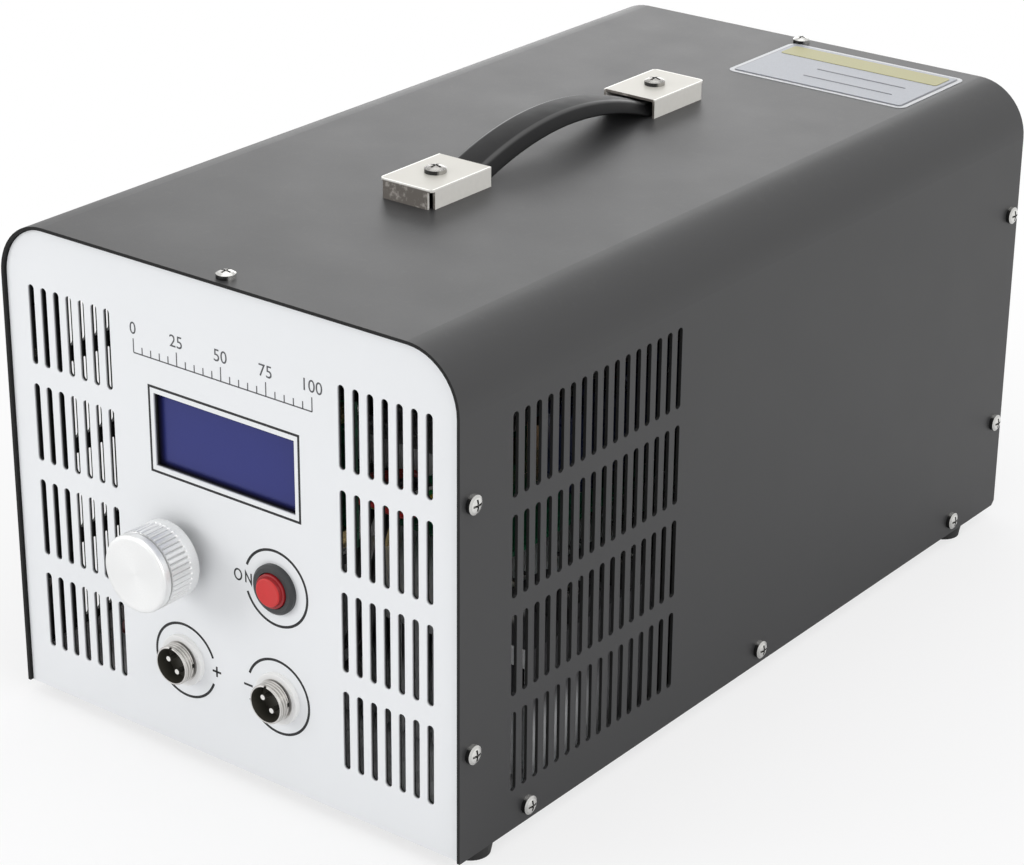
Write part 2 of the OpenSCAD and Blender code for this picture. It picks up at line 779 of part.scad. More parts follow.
module handle_strap() {
    arch_steps = 24;
    ys = concat([strap_end], [for (i = [0 : arch_steps]) strap_mouth * (1 - 2 * i / arch_steps)], [-strap_end]);
    rings = [for (y = ys, q = strap_section)
        [q[0], y - q[1] * sin(strap_slope(y)), strap_z(y) + strap_gap + q[1] * cos(strap_slope(y))]];
    color([0.13, 0.13, 0.14]) translate([0, handle_y, top_z]) difference() {
        skin(rings, len(ys), len(strap_section));
        for (s = [-1, 1]) translate([0, s * handle_pitch / 2, -cut])
            cylinder(d = handle_screw_d + 2 * screw_fit, h = cap_h + 2 * cut);
    }
}

module handle_screws() {
    color([0.82, 0.8, 0.76]) for (y = handle_ys) translate([0, y, top_z + cap_h])
        pan_screw(handle_screw_d, handle_head_d, handle_head_h, handle_screw_l);
}

module handle_nuts() {
    color([0.8, 0.8, 0.78]) for (y = handle_ys) translate([0, y, top_z - sheet_t])
        hex_nut(1.75 * handle_screw_d, handle_screw_d + 2 * seat, -handle_nut_h, 0);
}

// Display and control board
module slab(w, h, low, high) {
    translate([-w / 2, -h / 2, low]) cube([w, h, high - low]);
}

module display_glass() {
    color([0.16, 0.18, 0.5]) on_front(0, window_z) slab(glass_w, glass_h, -glass_depth - glass_t, -glass_depth);
}

module display_backlight() {
    color([0.9, 0.92, 0.95]) on_front(0, window_z) slab(glass_w, glass_h, -board_depth, -glass_depth - glass_t);
}

module display_frame() {
    color([0.08, 0.08, 0.09]) on_front(0, window_z) difference() {
        slab(frame_w, frame_h, -board_depth, -panel_t);
        slab(glass_w + 2 * seat, glass_h + 2 * seat, -board_depth - cut, -glass_depth);
        slab(window_w + 1, window_h + 1, -board_depth, 0);
    }
}

post_places = [
    [board_half_w - post_inset, board_top_z - post_inset], [-board_half_w + post_inset, board_top_z - post_inset],
    [board_half_w - post_inset, board_step_z + post_inset], [-board_half_w + post_inset, board_low_z + post_inset]];

module control_board() {
    color([0.05, 0.3, 0.16]) on_front(0, 0) translate([0, 0, -board_depth - board_t]) linear_extrude(board_t)
        difference() {
            polygon([[-board_half_w, board_low_z], [0, board_low_z], [0, board_step_z],
                [board_half_w, board_step_z], [board_half_w, board_top_z], [-board_half_w, board_top_z]]);
            for (p = post_places) translate(p) circle(d = screw_d + 2 * screw_fit);
        }
}

module control_chips() {
    chip_t = 1.6;
    chip_w = 12;
    driver_w = 6;
    driver_h = 5;
    color([0.12, 0.12, 0.13]) on_front(0, window_z) translate([0, 0, -board_depth - board_t - chip_t])
        linear_extrude(chip_t) {
            translate([-chip_w, chip_w / 4]) square(chip_w, center = true);
            for (s = [-1, 1]) translate([chip_w / 1.5, driver_h / 2 + s * 1.2 * driver_h])
                square([driver_w, driver_h], center = true);
        }
}

module board_posts() {
    color([0.78, 0.72, 0.5]) for (p = post_places) on_front(p[0], p[1])
        hex_nut(post_d, screw_d + 2 * seat, -board_depth, -panel_t);
}

module board_screws() {
    color([0.8, 0.8, 0.78]) for (p = post_places) on_front(p[0], p[1])
        translate([0, 0, -board_depth - board_t]) rotate([180, 0, 0])
            pan_screw(screw_d, screw_head_d, screw_head_h, screw_l);
}

// Rotary encoder and knob, axis along the panel's normal
module encoder_body() {
    leg = 0.8;
    color([0.6, 0.62, 0.6]) on_front(-control_x, control_z) {
        difference() {
            union() {
                slab(encoder_w, encoder_h, -encoder_back, -panel_t);
                bar(bushing_d, -encoder_back + cavity_wall, bushing_l);
            }
            bar(cavity_d, -encoder_back + cavity_wall, -panel_t - cavity_wall);
            bar(shaft_d + 2 * shaft_fit, -panel_t - cavity_wall - cut, bushing_l + cut);
        }
        for (k = [-1 : 1]) translate([k * 2.5, -encoder_h / 2 + leg, 0])
            slab(leg, leg, -board_depth, -encoder_back);
        for (k = [-1, 1]) translate([k * 2.5, encoder_h / 2 - leg, 0])
            slab(leg, leg, -board_depth, -encoder_back);
    }
}

module encoder_nut() {
    color([0.75, 0.75, 0.73]) on_front(-control_x, control_z) {
        tube(washer_d, bushing_d + 2 * seat, 0, washer_t);
        hex_nut(nut_af, bushing_d + 2 * seat, washer_t + seat, washer_t + seat + nut_h);
    }
}

// The sprung cup that the shaft turns in and pushes
collar_top = -panel_t - cavity_wall - seat;
plunger_floor = collar_top - collar_t - seat;

module encoder_plunger() {
    color([0.85, 0.85, 0.82]) on_front(-control_x, control_z) difference() {
        bar(plunger_d, plunger_floor - plunger_t, plunger_floor + collar_t * 0.6);
        bar(collar_d + 2 * seat, plunger_floor, plunger_floor + collar_t);
    }
}

module encoder_shaft() {
    flat_l = shaft_front - knob_gap - 1;
    color([0.78, 0.78, 0.76]) on_front(-control_x, control_z) {
        bar(collar_d, collar_top - collar_t, collar_top);
        difference() {
            bar(shaft_d, collar_top - collar_t, shaft_front);
            translate([-shaft_d / 2, shaft_d / 2 - flat_depth, shaft_front - flat_l])
                cube([shaft_d, shaft_d, flat_l + cut]);
        }
    }
}

// Section of the knob from its base to its face
module knob_section() {
    r = knob_d / 2;
    g = knob_front - groove_back;
    polygon([
        [0, knob_gap], [r - knob_chamfer, knob_gap], [r, knob_gap + knob_chamfer],
        [r, g - groove_w], [r - groove_depth, g - groove_w], [r - groove_depth, g], [r, g],
        [r, knob_front - knob_chamfer], [r - knob_chamfer, knob_front], [0, knob_front]]);
}

module knob() {
    bore_d = shaft_d + 2 * seat;
    flute_l = knob_l - flute_back - flute_front;
    color([0.85, 0.86, 0.87]) on_front(-control_x, control_z) difference() {
        rotate_extrude() knob_section();
        translate([0, 0, knob_gap + flute_back]) linear_extrude(flute_l)
            for (k = [0 : knob_flutes - 1]) rotate(k * 360 / knob_flutes) translate([knob_d / 2, 0]) circle(d = flute_d);
        bar(knob_recess_d, knob_gap - cut, knob_gap + knob_recess);
        difference() {
            bar(bore_d, knob_gap, shaft_front + seat);
            translate([-shaft_d, shaft_d / 2 - flat_depth + seat, knob_gap + knob_recess + 1])
                cube([2 * shaft_d, shaft_d, knob_l]);
        }
        translate([0, 0, set_screw_at]) rotate([-90, 0, 0])
            cylinder(d = set_screw_d + 2 * seat, h = knob_d);
    }
}

module knob_set_screw() {
    low = shaft_d / 2 - flat_depth + seat;
    color([0.2, 0.2, 0.2]) on_front(-control_x, control_z) translate([0, 0, set_screw_at]) rotate([-90, 0, 0])
        difference() {
            bar(set_screw_d, low, knob_d / 2 - 2);
            translate([0, 0, knob_d / 2 - 3.5]) cylinder(d = set_screw_d / 2, h = 2, $fn = 6);
        }
}

// Push button
module button_housing() {
    terminal_w = 2.8;
    color([0.08, 0.08, 0.08]) on_front(control_x, control_z) {
        difference() {
            union() {
                bar(bezel_d, 0, bezel_h);
                bar(barrel_d, -barrel_depth, bezel_h);
            }
            bar(button_d + 2 * button_gap, -spring_low, bezel_h + cut);
            translate([0, 0, bezel_h]) rotate_extrude() polygon([
                [bezel_d / 2 - 0.8, 0], [bezel_d / 2 + cut, -0.8 - cut], [bezel_d / 2 + cut, 0]]);
        }
        for (s = [-1, 1]) translate([s * 3, 0, 0]) slab(0.6, terminal_w, -barrel_depth - 6, -barrel_depth);
    }
}

module button_cap() {
    color([0.75, 0.1, 0.08]) on_front(control_x, control_z) {
        rotate_extrude() polygon([
            [0, -button_skirt], [button_d / 2, -button_skirt], [button_d / 2, button_proud - step_h],
            [step_d / 2 + 0.3, button_proud - step_h], [step_d / 2, button_proud], [0, button_proud]]);
        bar(stem_d, -button_skirt - button_travel - 1, -button_skirt);
    }
}

module button_spring() {
    steps_per_turn = 12;
    low = -spring_low + spring_wire / 2 + seat;
    high = -button_skirt - spring_wire / 2 - seat;
    n = spring_turns * steps_per_turn;
    points = [for (i = [0 : n]) let (a = 360 * i / steps_per_turn)
        [spring_d / 2 * cos(a), spring_d / 2 * sin(a), low + (high - low) * i / n]];
    color([0.7, 0.7, 0.7]) on_front(control_x, control_z) wire(points, spring_wire, 8);
}

module button_nut() {
    color([0.1, 0.1, 0.1]) on_front(control_x, control_z)
        hex_nut(button_nut_af, barrel_d + 2 * seat, -panel_t - button_nut_h, -panel_t);
}

// Two-pin screw sockets
module socket_shell() {
    difference() {
        union() {
            bar(socket_d, -panel_t - socket_depth, socket_proud);
            bar(socket_flange_d, 0, socket_flange_t);
        }
        bar(socket_bore_d, -panel_t - socket_depth - cut, socket_proud + cut);
        translate([-key_w / 2, 0, socket_proud - key_depth]) cube([key_w, socket_d, key_depth + cut]);
    }
}

module pin_places() {
    for (s = [-1, 1]) rotate(135) translate([s * pin_pitch / 2, 0]) children();
}

module socket_insert() {
    difference() {
        bar(socket_bore_d - 2 * seat, -panel_t - socket_depth, socket_proud - insert_depth);
        pin_places() bar(pin_d + 2 * seat, -panel_t - socket_depth - cut, socket_proud);
    }
}

module socket_pins() {
    back = -panel_t - socket_depth;
    pin_places() {
        bar(pin_d, back, socket_proud - pin_short);
        bar(cup_d, back - cup_l, back);
    }
}

module socket_nut() {
    hex_nut(socket_nut_af, socket_d + 2 * seat, -panel_t - socket_nut_h, -panel_t);
}

module plus_socket_shell() {
    color([0.8, 0.79, 0.75]) on_front(-control_x, socket_z) socket_shell();
}

module plus_socket_insert() {
    color([0.08, 0.08, 0.08]) on_front(-control_x, socket_z) socket_insert();
}

module plus_socket_pins() {
    color([0.85, 0.84, 0.8]) on_front(-control_x, socket_z) socket_pins();
}

module plus_socket_nut() {
    color([0.8, 0.79, 0.75]) on_front(-control_x, socket_z) socket_nut();
}

module minus_socket_shell() {
    color([0.8, 0.79, 0.75]) on_front(control_x, socket_z) socket_shell();
}

module minus_socket_insert() {
    color([0.08, 0.08, 0.08]) on_front(control_x, socket_z) socket_insert();
}

module minus_socket_pins() {
    color([0.85, 0.84, 0.8]) on_front(control_x, socket_z) socket_pins();
}

module minus_socket_nut() {
    color([0.8, 0.79, 0.75]) on_front(control_x, socket_z) socket_nut();
}

// Heat sink, power transistors and power board
module heat_sink() {
    color([0.7, 0.71, 0.72]) translate([sink_x, sink_back + sink_l, floor_z]) rotate([90, 0, 0])
        difference() {
            linear_extrude(sink_l) {
                translate([-sink_w / 2, sink_h - sink_base_t]) square([sink_w, sink_base_t]);
                for (k = [0 : sink_fins - 1]) let (low = k == 0 || k == sink_fins - 1 ? 0 : sink_foot)
                    translate([-sink_w / 2 + k * fin_pitch, low]) square([fin_t, sink_h - sink_base_t - low]);
            }
            for (p = concat(transistor_holes, power_post_places))
                translate([p[0] - sink_x, sink_h + cut, sink_back + sink_l - p[1]]) rotate([90, 0, 0])
                    cylinder(d = screw_d + 2 * screw_fit, h = sink_base_t);
        }
}

transistor_places = [for (k = [0 : transistors - 1]) [transistor_x, transistor_y + k * transistor_pitch]];
transistor_holes = [for (p = transistor_places) [p[0] + transistor_l / 2 - 6, p[1]]];
power_post_places = [for (s = [-1, 1], e = [0, 1])
    [power_board_x + s * (power_board_w / 2 - 4), power_board_y + 4 + e * (power_board_l - 8)]];

module power_transistors() {
    lead_w = 1.2;
    lead_t = 0.6;
    lead_pitch = 5.45;
    lead_reach = transistor_x - transistor_l / 2 - (power_board_x + power_board_w / 2) + 1;
    lead_z = transistor_t / 2;
    color([0.14, 0.14, 0.15]) for (p = transistor_places) translate([p[0], p[1], sink_top]) {
        difference() {
            translate([-transistor_l / 2, -transistor_w / 2, 0]) cube([transistor_l, transistor_w, transistor_t]);
            translate([transistor_l / 2 - 6, 0, -cut])
                cylinder(d = screw_d + 2 * screw_fit, h = transistor_t + 2 * cut);
        }
        for (k = [-1 : 1]) translate([-transistor_l / 2 - lead_reach, k * lead_pitch - lead_w / 2, lead_z]) {
            cube([lead_reach + cut, lead_w, lead_t]);
            cube([lead_t, lead_w, power_board_z - lead_z]);
        }
    }
}

module transistor_screws() {
    color([0.8, 0.8, 0.78]) for (p = transistor_holes) translate([p[0], p[1], sink_top + transistor_t])
        pan_screw(screw_d, screw_head_d, screw_head_h, transistor_t + sink_base_t - 1);
}

module power_board() {
    color([0.05, 0.3, 0.16]) translate([0, 0, power_board_bottom]) linear_extrude(board_t) difference() {
        translate([power_board_x - power_board_w / 2, power_board_y]) square([power_board_w, power_board_l]);
        for (p = power_post_places) translate(p) circle(d = screw_d + 2 * screw_fit);
    }
}

// Posts with their screws' heads on the board
module power_posts() {
    color([0.78, 0.72, 0.5]) for (p = power_post_places) translate([p[0], p[1], sink_top]) {
        cylinder(d = post_d / cos(30), h = power_board_z, $fn = 6);
        translate([0, 0, power_board_z + board_t]) pan_screw(screw_d, screw_head_d, screw_head_h, board_t);
        translate([0, 0, -sink_base_t + 1.5]) cylinder(d = screw_d, h = sink_base_t);
    }
}

module capacitors() {
    color([0.12, 0.14, 0.2]) for (k = [0 : 3])
        translate([power_board_x + 10, power_board_y + power_board_l - 20 - k * capacitor_pitch, power_board_top])
            rotate_extrude() polygon([
                [0, 0], [capacitor_d / 2, 0], [capacitor_d / 2, 1.6], [capacitor_d / 2 - 0.6, 2.2],
                [capacitor_d / 2, 2.8], [capacitor_d / 2, capacitor_h - 0.6],
                [capacitor_d / 2 - 0.6, capacitor_h], [0, capacitor_h]]);
}

module shunt_bars() {
    color([0.72, 0.5, 0.32]) for (k = [0 : 2])
        translate([power_board_x - 14, power_board_y + power_board_l - 22 - k * 1.6 * shunt_l, power_board_top])
            rotate([90, 0, 90]) translate([0, 0, -shunt_w / 2]) linear_extrude(shunt_w) difference() {
                translate([-shunt_l / 2, 0]) square([shunt_l, shunt_h]);
                translate([-shunt_l / 2 + shunt_t, -cut]) square([shunt_l - 2 * shunt_t, shunt_h - shunt_t + cut]);
            }
}

// Mains supply
module supply_case() {
    vent_rows = 9;
    vent_pitch = (supply_l - 30) / vent_rows;
    vent_depth = 1.2;
    color([0.75, 0.76, 0.76]) difference() {
        translate([supply_x - supply_w / 2, supply_y, floor_z]) cube([supply_w, supply_l, supply_h]);
        translate([supply_x, supply_y + supply_l / 2, supply_top - vent_depth]) linear_extrude(vent_depth + cut)
            for (k = [0 : vent_rows - 1], c = [-1 : 1])
                translate([c * supply_w / 3.4, (k - (vent_rows - 1) / 2) * vent_pitch]) rotate(90)
                    slot_outline(4, supply_w / 4);
        translate([supply_x - supply_w / 2 - cut, supply_y - cut, floor_z + terminal_h])
            cube([supply_w + 2 * cut, terminal_l + cut, supply_h]);
    }
}

module supply_terminals() {
    ways = 5;
    inset = 2;
    wall = 0.8;
    deck = 3;
    block_h = 12;
    block_l = terminal_l - 1.5 * inset;
    way = (supply_w - 2 * inset) / ways;
    color([0.1, 0.1, 0.1]) translate([supply_x - supply_w / 2 + inset, supply_y + inset, floor_z + terminal_h])
        difference() {
            cube([supply_w - 2 * inset, block_l, block_h]);
            for (k = [0 : ways - 1]) translate([k * way + wall, -cut, deck])
                cube([way - 2 * wall, block_l - inset, block_h]);
        }
}

// Fan on the rear panel
module fan_corners() {
    for (sx = [-1, 1], sy = [-1, 1]) translate([sx, sy] * fan_screw_pitch / 2) children();
}

module fan_outline() {
    r = 4;
    square([fan_size, fan_size - 2 * r], center = true);
    square([fan_size - 2 * r, fan_size], center = true);
    for (sx = [-1, 1], sy = [-1, 1]) translate([sx, sy] * (fan_size / 2 - r)) circle(r);
}

module fan_frame() {
    back = -panel_t - fan_depth;
    spoke_w = 4;
    color([0.08, 0.08, 0.08]) on_rear(fan_x, fan_z) {
        translate([0, 0, back]) linear_extrude(fan_depth) difference() {
            fan_outline();
            circle(d = fan_bore);
            fan_corners() circle(d = fan_screw_d + 2 * seat);
        }
        difference() {
            union() {
                bar(hub_d, back, back + fan_hub_plate);
                for (a = [45 : 90 : 315]) rotate(a) translate([0, -spoke_w / 2, back])
                    cube([fan_bore / 2 + 1, spoke_w, fan_hub_plate]);
                bar(axle_d + 5, back, back + fan_hub_plate + 5);
            }
            bar(axle_d + 2 * axle_fit, back - cut, back + fan_hub_plate + 5 + cut);
        }
    }
}

// Section of a blade: an arc from its low leading edge to its high trailing edge
module vane_section(low, high) {
    chord = [vane_w, high - low];
    half = norm(chord) / 2;
    reach = sqrt(pow(vane_camber_r, 2) - pow(half, 2));
    intersection() {
        translate([-vane_w / 2, low]) square(chord);
        translate([0, (low + high) / 2] + reach * [chord[1], -chord[0]] / norm(chord)) difference() {
            circle(vane_camber_r + vane_t / 2);
            circle(vane_camber_r - vane_t / 2);
        }
    }
}

module fan_blade() {
    low = -panel_t - fan_depth + fan_hub_plate + rotor_gap + 1;
    high = -panel_t - 3;
    inner = hub_d / 2 - 2;
    intersection() {
        translate([inner, 0, 0]) rotate([90, 0, 90]) linear_extrude(blade_r) vane_section(low, high);
        bar(2 * blade_r, low - cut, high + cut);
    }
}

module fan_rotor() {
    back = -panel_t - fan_depth + fan_hub_plate + rotor_gap;
    front = -panel_t - 2;
    boss_d = axle_d + 5 + 2;
    color([0.1, 0.1, 0.1]) on_rear(fan_x, fan_z) {
        difference() {
            bar(hub_d, back, front);
            bar(boss_d, back - cut, back + 5);
        }
        bar(axle_d, back - fan_hub_plate, back + 6);
        for (k = [0 : fan_blades - 1]) rotate(k * 360 / fan_blades) fan_blade();
    }
}

module fan_guard() {
    ring_z = 1.3 * guard_wire;
    ring_max = fan_bore / 2 - 2;
    foot_r = fan_screw_pitch / sqrt(2);
    color([0.75, 0.75, 0.74]) on_rear(fan_x, fan_z) {
        for (k = [0 : guard_rings - 1]) translate([0, 0, ring_z]) rotate_extrude()
            translate([ring_max - k * guard_ring_pitch, 0]) circle(d = guard_wire);
        for (a = [45 : 90 : 315]) rotate(a) {
            translate([ring_max - (guard_rings - 1) * guard_ring_pitch - 2, 0, guard_wire / 2]) rotate([0, 90, 0])
                cylinder(d = guard_wire, h = foot_r - fan_screw_d / 2 - guard_wire / 2 - screw_fit
                    - (ring_max - (guard_rings - 1) * guard_ring_pitch - 2));
            translate([foot_r, 0, guard_wire / 2]) rotate_extrude()
                translate([fan_screw_d / 2 + guard_wire / 2 + screw_fit, 0]) circle(d = guard_wire);
        }
    }
}

module fan_screws() {
    color([0.8, 0.8, 0.78]) on_rear(fan_x, fan_z) fan_corners() translate([0, 0, guard_wire])
        pan_screw(fan_screw_d, 1.9 * fan_screw_d, 0.6 * fan_screw_d, fan_screw_l);
}

// Mains inlet with switch and fuse drawer
module plug_outline() {
    polygon([[-plug_w / 2, -plug_h / 2], [plug_w / 2, -plug_h / 2], [plug_w / 2, plug_h / 2 - plug_bevel],
        [plug_w / 2 - plug_bevel, plug_h / 2], [-plug_w / 2 + plug_bevel, plug_h / 2],
        [-plug_w / 2, plug_h / 2 - plug_bevel]]);
}

module inlet_housing() {
    color([0.09, 0.09, 0.09]) on_rear(inlet_x, inlet_z) difference() {
        union() {
            slab(inlet_w, inlet_h, 0, inlet_t);
            slab(inlet_screw_pitch, inlet_ear_h, 0, inlet_t);
            for (s = [-1, 1]) translate([s * inlet_screw_pitch / 2, 0, 0]) cylinder(d = inlet_ear_h, h = inlet_t);
            slab(inlet_body_w, inlet_body_h, -inlet_depth, 0);
        }
        for (s = [-1, 1]) translate([s * inlet_screw_pitch / 2, 0, -cut])
            cylinder(d = screw_d + 2 * screw_fit, h = inlet_t + 2 * cut);
        translate([0, plug_y, inlet_t - plug_depth]) linear_extrude(plug_depth + cut) plug_outline();
        translate([0, drawer_y, 0])
            slab(drawer_w + 2 * rocker_gap, drawer_h + 2 * rocker_gap, inlet_t - drawer_l - rocker_gap, inlet_t + cut);
        translate([0, rocker_y, 0]) {
            slab(rocker_w + 2 * rocker_gap, rocker_h + 2 * rocker_gap, inlet_t - rocker_depth - 5, inlet_t + cut);
            translate([0, 0, inlet_t - rocker_axle_d]) rotate([0, 90, 0])
                cylinder(d = rocker_axle_d + 2 * axle_fit, h = rocker_w + 4, center = true);
        }
        for (p = blade_places) translate([p[0], plug_y + p[1], 0])
            slab(blade_w + 2 * seat, blade_h + 2 * seat, -inlet_depth - cut, inlet_t);
    }
}

blade_places = [[-7, -2], [7, -2], [0, 2]];

module inlet_blades() {
    color([0.8, 0.78, 0.7]) on_rear(inlet_x, inlet_z) for (p = blade_places)
        translate([p[0], plug_y + p[1], 0]) slab(blade_w, blade_h, -inlet_depth - 8, inlet_t - 3);
}

module power_rocker() {
    axis = inlet_t - rocker_axle_d;
    rise = rocker_axle_d + 1.4;
    color([0.12, 0.12, 0.12]) on_rear(inlet_x, inlet_z) translate([0, rocker_y, axis]) {
        rotate([0, 90, 0]) cylinder(d = rocker_axle_d, h = rocker_w + 3, center = true);
        rotate([rocker_tilt, 0, 0]) translate([-rocker_w / 2, 0, 0]) rotate([90, 0, 90]) linear_extrude(rocker_w)
            polygon([[-rocker_h / 2 + 1, -rocker_depth + 3], [rocker_h / 2 - 1, -rocker_depth + 3],
                [rocker_h / 2 - 0.8, rise], [0, rise - 1], [-rocker_h / 2 + 0.8, rise]]);
    }
}

module fuse_drawer() {
    lip_t = 2;
    fuse_d = 5;
    fuse_end = 1.5;
    color([0.11, 0.11, 0.11]) on_rear(inlet_x, inlet_z) translate([0, drawer_y, 0]) difference() {
        union() {
            slab(drawer_w, drawer_h, inlet_t - drawer_l, inlet_t);
            slab(drawer_w * 0.5, lip_t, inlet_t, inlet_t + drawer_lip);
        }
        translate([0, drawer_h / 2, inlet_t - drawer_l / 2 - fuse_d / 5]) rotate([0, 90, 0])
            cylinder(d = fuse_d, h = drawer_w - 2 * fuse_end, center = true);
    }
}

module inlet_screws() {
    color([0.8, 0.8, 0.78]) on_rear(inlet_x, inlet_z) for (s = [-1, 1])
        translate([s * inlet_screw_pitch / 2, 0, inlet_t]) case_screw();
}

// Leads and loom
function from_front(route, x, y, z) = [for (p = route) [x + p[0], front_y + y + p[1], foot_h + z + p[2]]];

// One lead of a pair: it leaves its pin's solder cup straight, swings wide and lands beside its twin
function lead_of_pair(route, s, beside) = [for (i = [0 : len(route) - 1])
    let (f = min(1, max(0, (i - 2) / (len(route) - 5))), swing = 1 + 0.5 * sin(180 * f))
    route[i] + swing * s * ((1 - f) * pin_pitch / 2 * [cos(135), 0, sin(135)] + f * 0.8 * lead_d * beside)];

module lead_pair(route, x, beside) {
    for (s = [-1, 1])
        wire(smooth(from_front(lead_of_pair(route, s, beside), x, lead_start, socket_z), 4), lead_d);
}

module plus_leads() {
    color([0.7, 0.08, 0.06]) lead_pair(plus_route, -control_x, [0, -1, 0]);
}

module minus_leads() {
    color([0.07, 0.07, 0.07]) lead_pair(minus_route, control_x, [-1, 0, 0]);
}

module signal_loom() {
    color([0.85, 0.45, 0.1]) for (k = [0 : loom_wires - 1])
        wire(smooth(from_front(loom_route, loom_x + k * loom_pitch, loom_start, loom_z), 4), loom_wire_d);
}

cover();
front_panel();
base_tray();
rear_panel();
cover_screws();
panel_screws();
feet();
foot_screws();
handle_strap();
handle_cap_front();
handle_cap_rear();
handle_screws();
handle_nuts();
display_glass();
display_backlight();
display_frame();
control_board();
control_chips();
board_posts();
board_screws();
encoder_body();
encoder_nut();
encoder_plunger();
encoder_shaft();
knob();
knob_set_screw();
button_housing();
button_cap();
button_spring();
button_nut();
plus_socket_shell();
plus_socket_insert();
plus_socket_pins();
plus_socket_nut();
minus_socket_shell();
minus_socket_insert();
minus_socket_pins();
minus_socket_nut();
heat_sink();
power_transistors();
transistor_screws();
power_board();
power_posts();
capacitors();
shunt_bars();
supply_case();
supply_terminals();
fan_frame();
fan_rotor();
fan_guard();
fan_screws();
inlet_housing();
inlet_blades();
power_rocker();
fuse_drawer();
inlet_screws();
plus_leads();
minus_leads();
signal_loom();
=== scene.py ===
"""Looks of the bench DC load: finishes, printed marks, threads, strap, leads and studio."""

import logging
import math
from dataclasses import dataclass
from enum import Enum
from typing import Iterable, Optional, Sequence, Union

import bmesh
import bpy
import numpy as np
from mathutils import Matrix, Vector


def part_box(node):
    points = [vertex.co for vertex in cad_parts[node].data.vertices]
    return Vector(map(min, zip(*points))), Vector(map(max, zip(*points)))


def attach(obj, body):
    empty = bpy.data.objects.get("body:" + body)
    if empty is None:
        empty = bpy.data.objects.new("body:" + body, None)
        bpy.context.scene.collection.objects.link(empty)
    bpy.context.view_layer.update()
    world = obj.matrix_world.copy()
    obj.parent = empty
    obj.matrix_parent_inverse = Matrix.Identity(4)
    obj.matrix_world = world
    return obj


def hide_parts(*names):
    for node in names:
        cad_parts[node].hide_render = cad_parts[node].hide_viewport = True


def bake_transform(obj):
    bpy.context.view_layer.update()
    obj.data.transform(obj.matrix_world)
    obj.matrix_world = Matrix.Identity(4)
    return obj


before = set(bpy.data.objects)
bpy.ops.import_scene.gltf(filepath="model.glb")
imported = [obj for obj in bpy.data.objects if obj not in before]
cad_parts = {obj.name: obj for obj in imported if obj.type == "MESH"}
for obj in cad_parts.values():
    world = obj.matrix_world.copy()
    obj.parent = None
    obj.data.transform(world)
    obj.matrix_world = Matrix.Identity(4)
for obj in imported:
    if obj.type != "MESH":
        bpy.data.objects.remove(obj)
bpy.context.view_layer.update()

MM = 0.001
MERGE_DISTANCE = 1e-7
SHORTEST_EDGE = 1e-8
CREASE = 35.0
LOG = logging.getLogger("bench_load")

Colour = tuple[float, float, float]
Place = tuple[float, float, float]
Pair = tuple[float, float]
Value = Union["Signal", float, Colour]


class Body(str, Enum):
    """The moving bodies that new pieces ride on."""

    CASE = "case"
    KNOB = "knob"
    BUTTON = "button"


class Axis(int, Enum):
    """The three axes of the shared frame."""

    X = 0
    Y = 1
    Z = 2


class Signal:
    """One shader socket. Operators on it add Math nodes to its shader."""

    def __init__(self, shader: "Shader", socket: bpy.types.NodeSocket) -> None:
        """Keeps the socket and the shader that it belongs to."""
        self.shader = shader
        self.socket = socket

    def math(self, operation: str, *others: Value) -> "Signal":
        """Adds one Math node.

        Args:
            operation: Name of the Math node's operation.
            others: The values after this one.

        Returns:
            The node's result.
        """
        values = dict(enumerate((self, *others)))
        return self.shader.node("ShaderNodeMath", {"operation": operation}, values)

    def __add__(self, other: Value) -> "Signal":
        """Sum."""
        return self.math("ADD", other)

    __radd__ = __add__

    def __sub__(self, other: Value) -> "Signal":
        """Difference."""
        return self.math("SUBTRACT", other)

    def __rsub__(self, other: float) -> "Signal":
        """A number less this signal."""
        return self.shader.node("ShaderNodeMath", {"operation": "SUBTRACT"}, {0: other, 1: self})

    def __mul__(self, other: Value) -> "Signal":
        """Product."""
        return self.math("MULTIPLY", other)

    __rmul__ = __mul__

    def __abs__(self) -> "Signal":
        """Size without sign."""
        return self.math("ABSOLUTE")

    def sine(self) -> "Signal":
        """Sine of the signal in radians."""
        return self.math("SINE")

    def larger(self, other: Value) -> "Signal":
        """The larger of this signal and another."""
        return self.math("MAXIMUM", other)

    def ramp(self, low: float, high: float) -> "Signal":
        """A smooth step from 0 at low to 1 at high.

        Args:
            low: Where the step starts. It may be above high, for a falling step.
            high: Where the step ends.

        Returns:
            The step, between 0 and 1.
        """
        rises = high > low
        ends = {"From Min": min(low, high), "From Max": max(low, high)}
        ends.update({"To Min": 0.0 if rises else 1.0, "To Max": 1.0 if rises else 0.0, "Value": self})
        return self.shader.node("ShaderNodeMapRange", {"interpolation_type": "SMOOTHSTEP"}, ends)


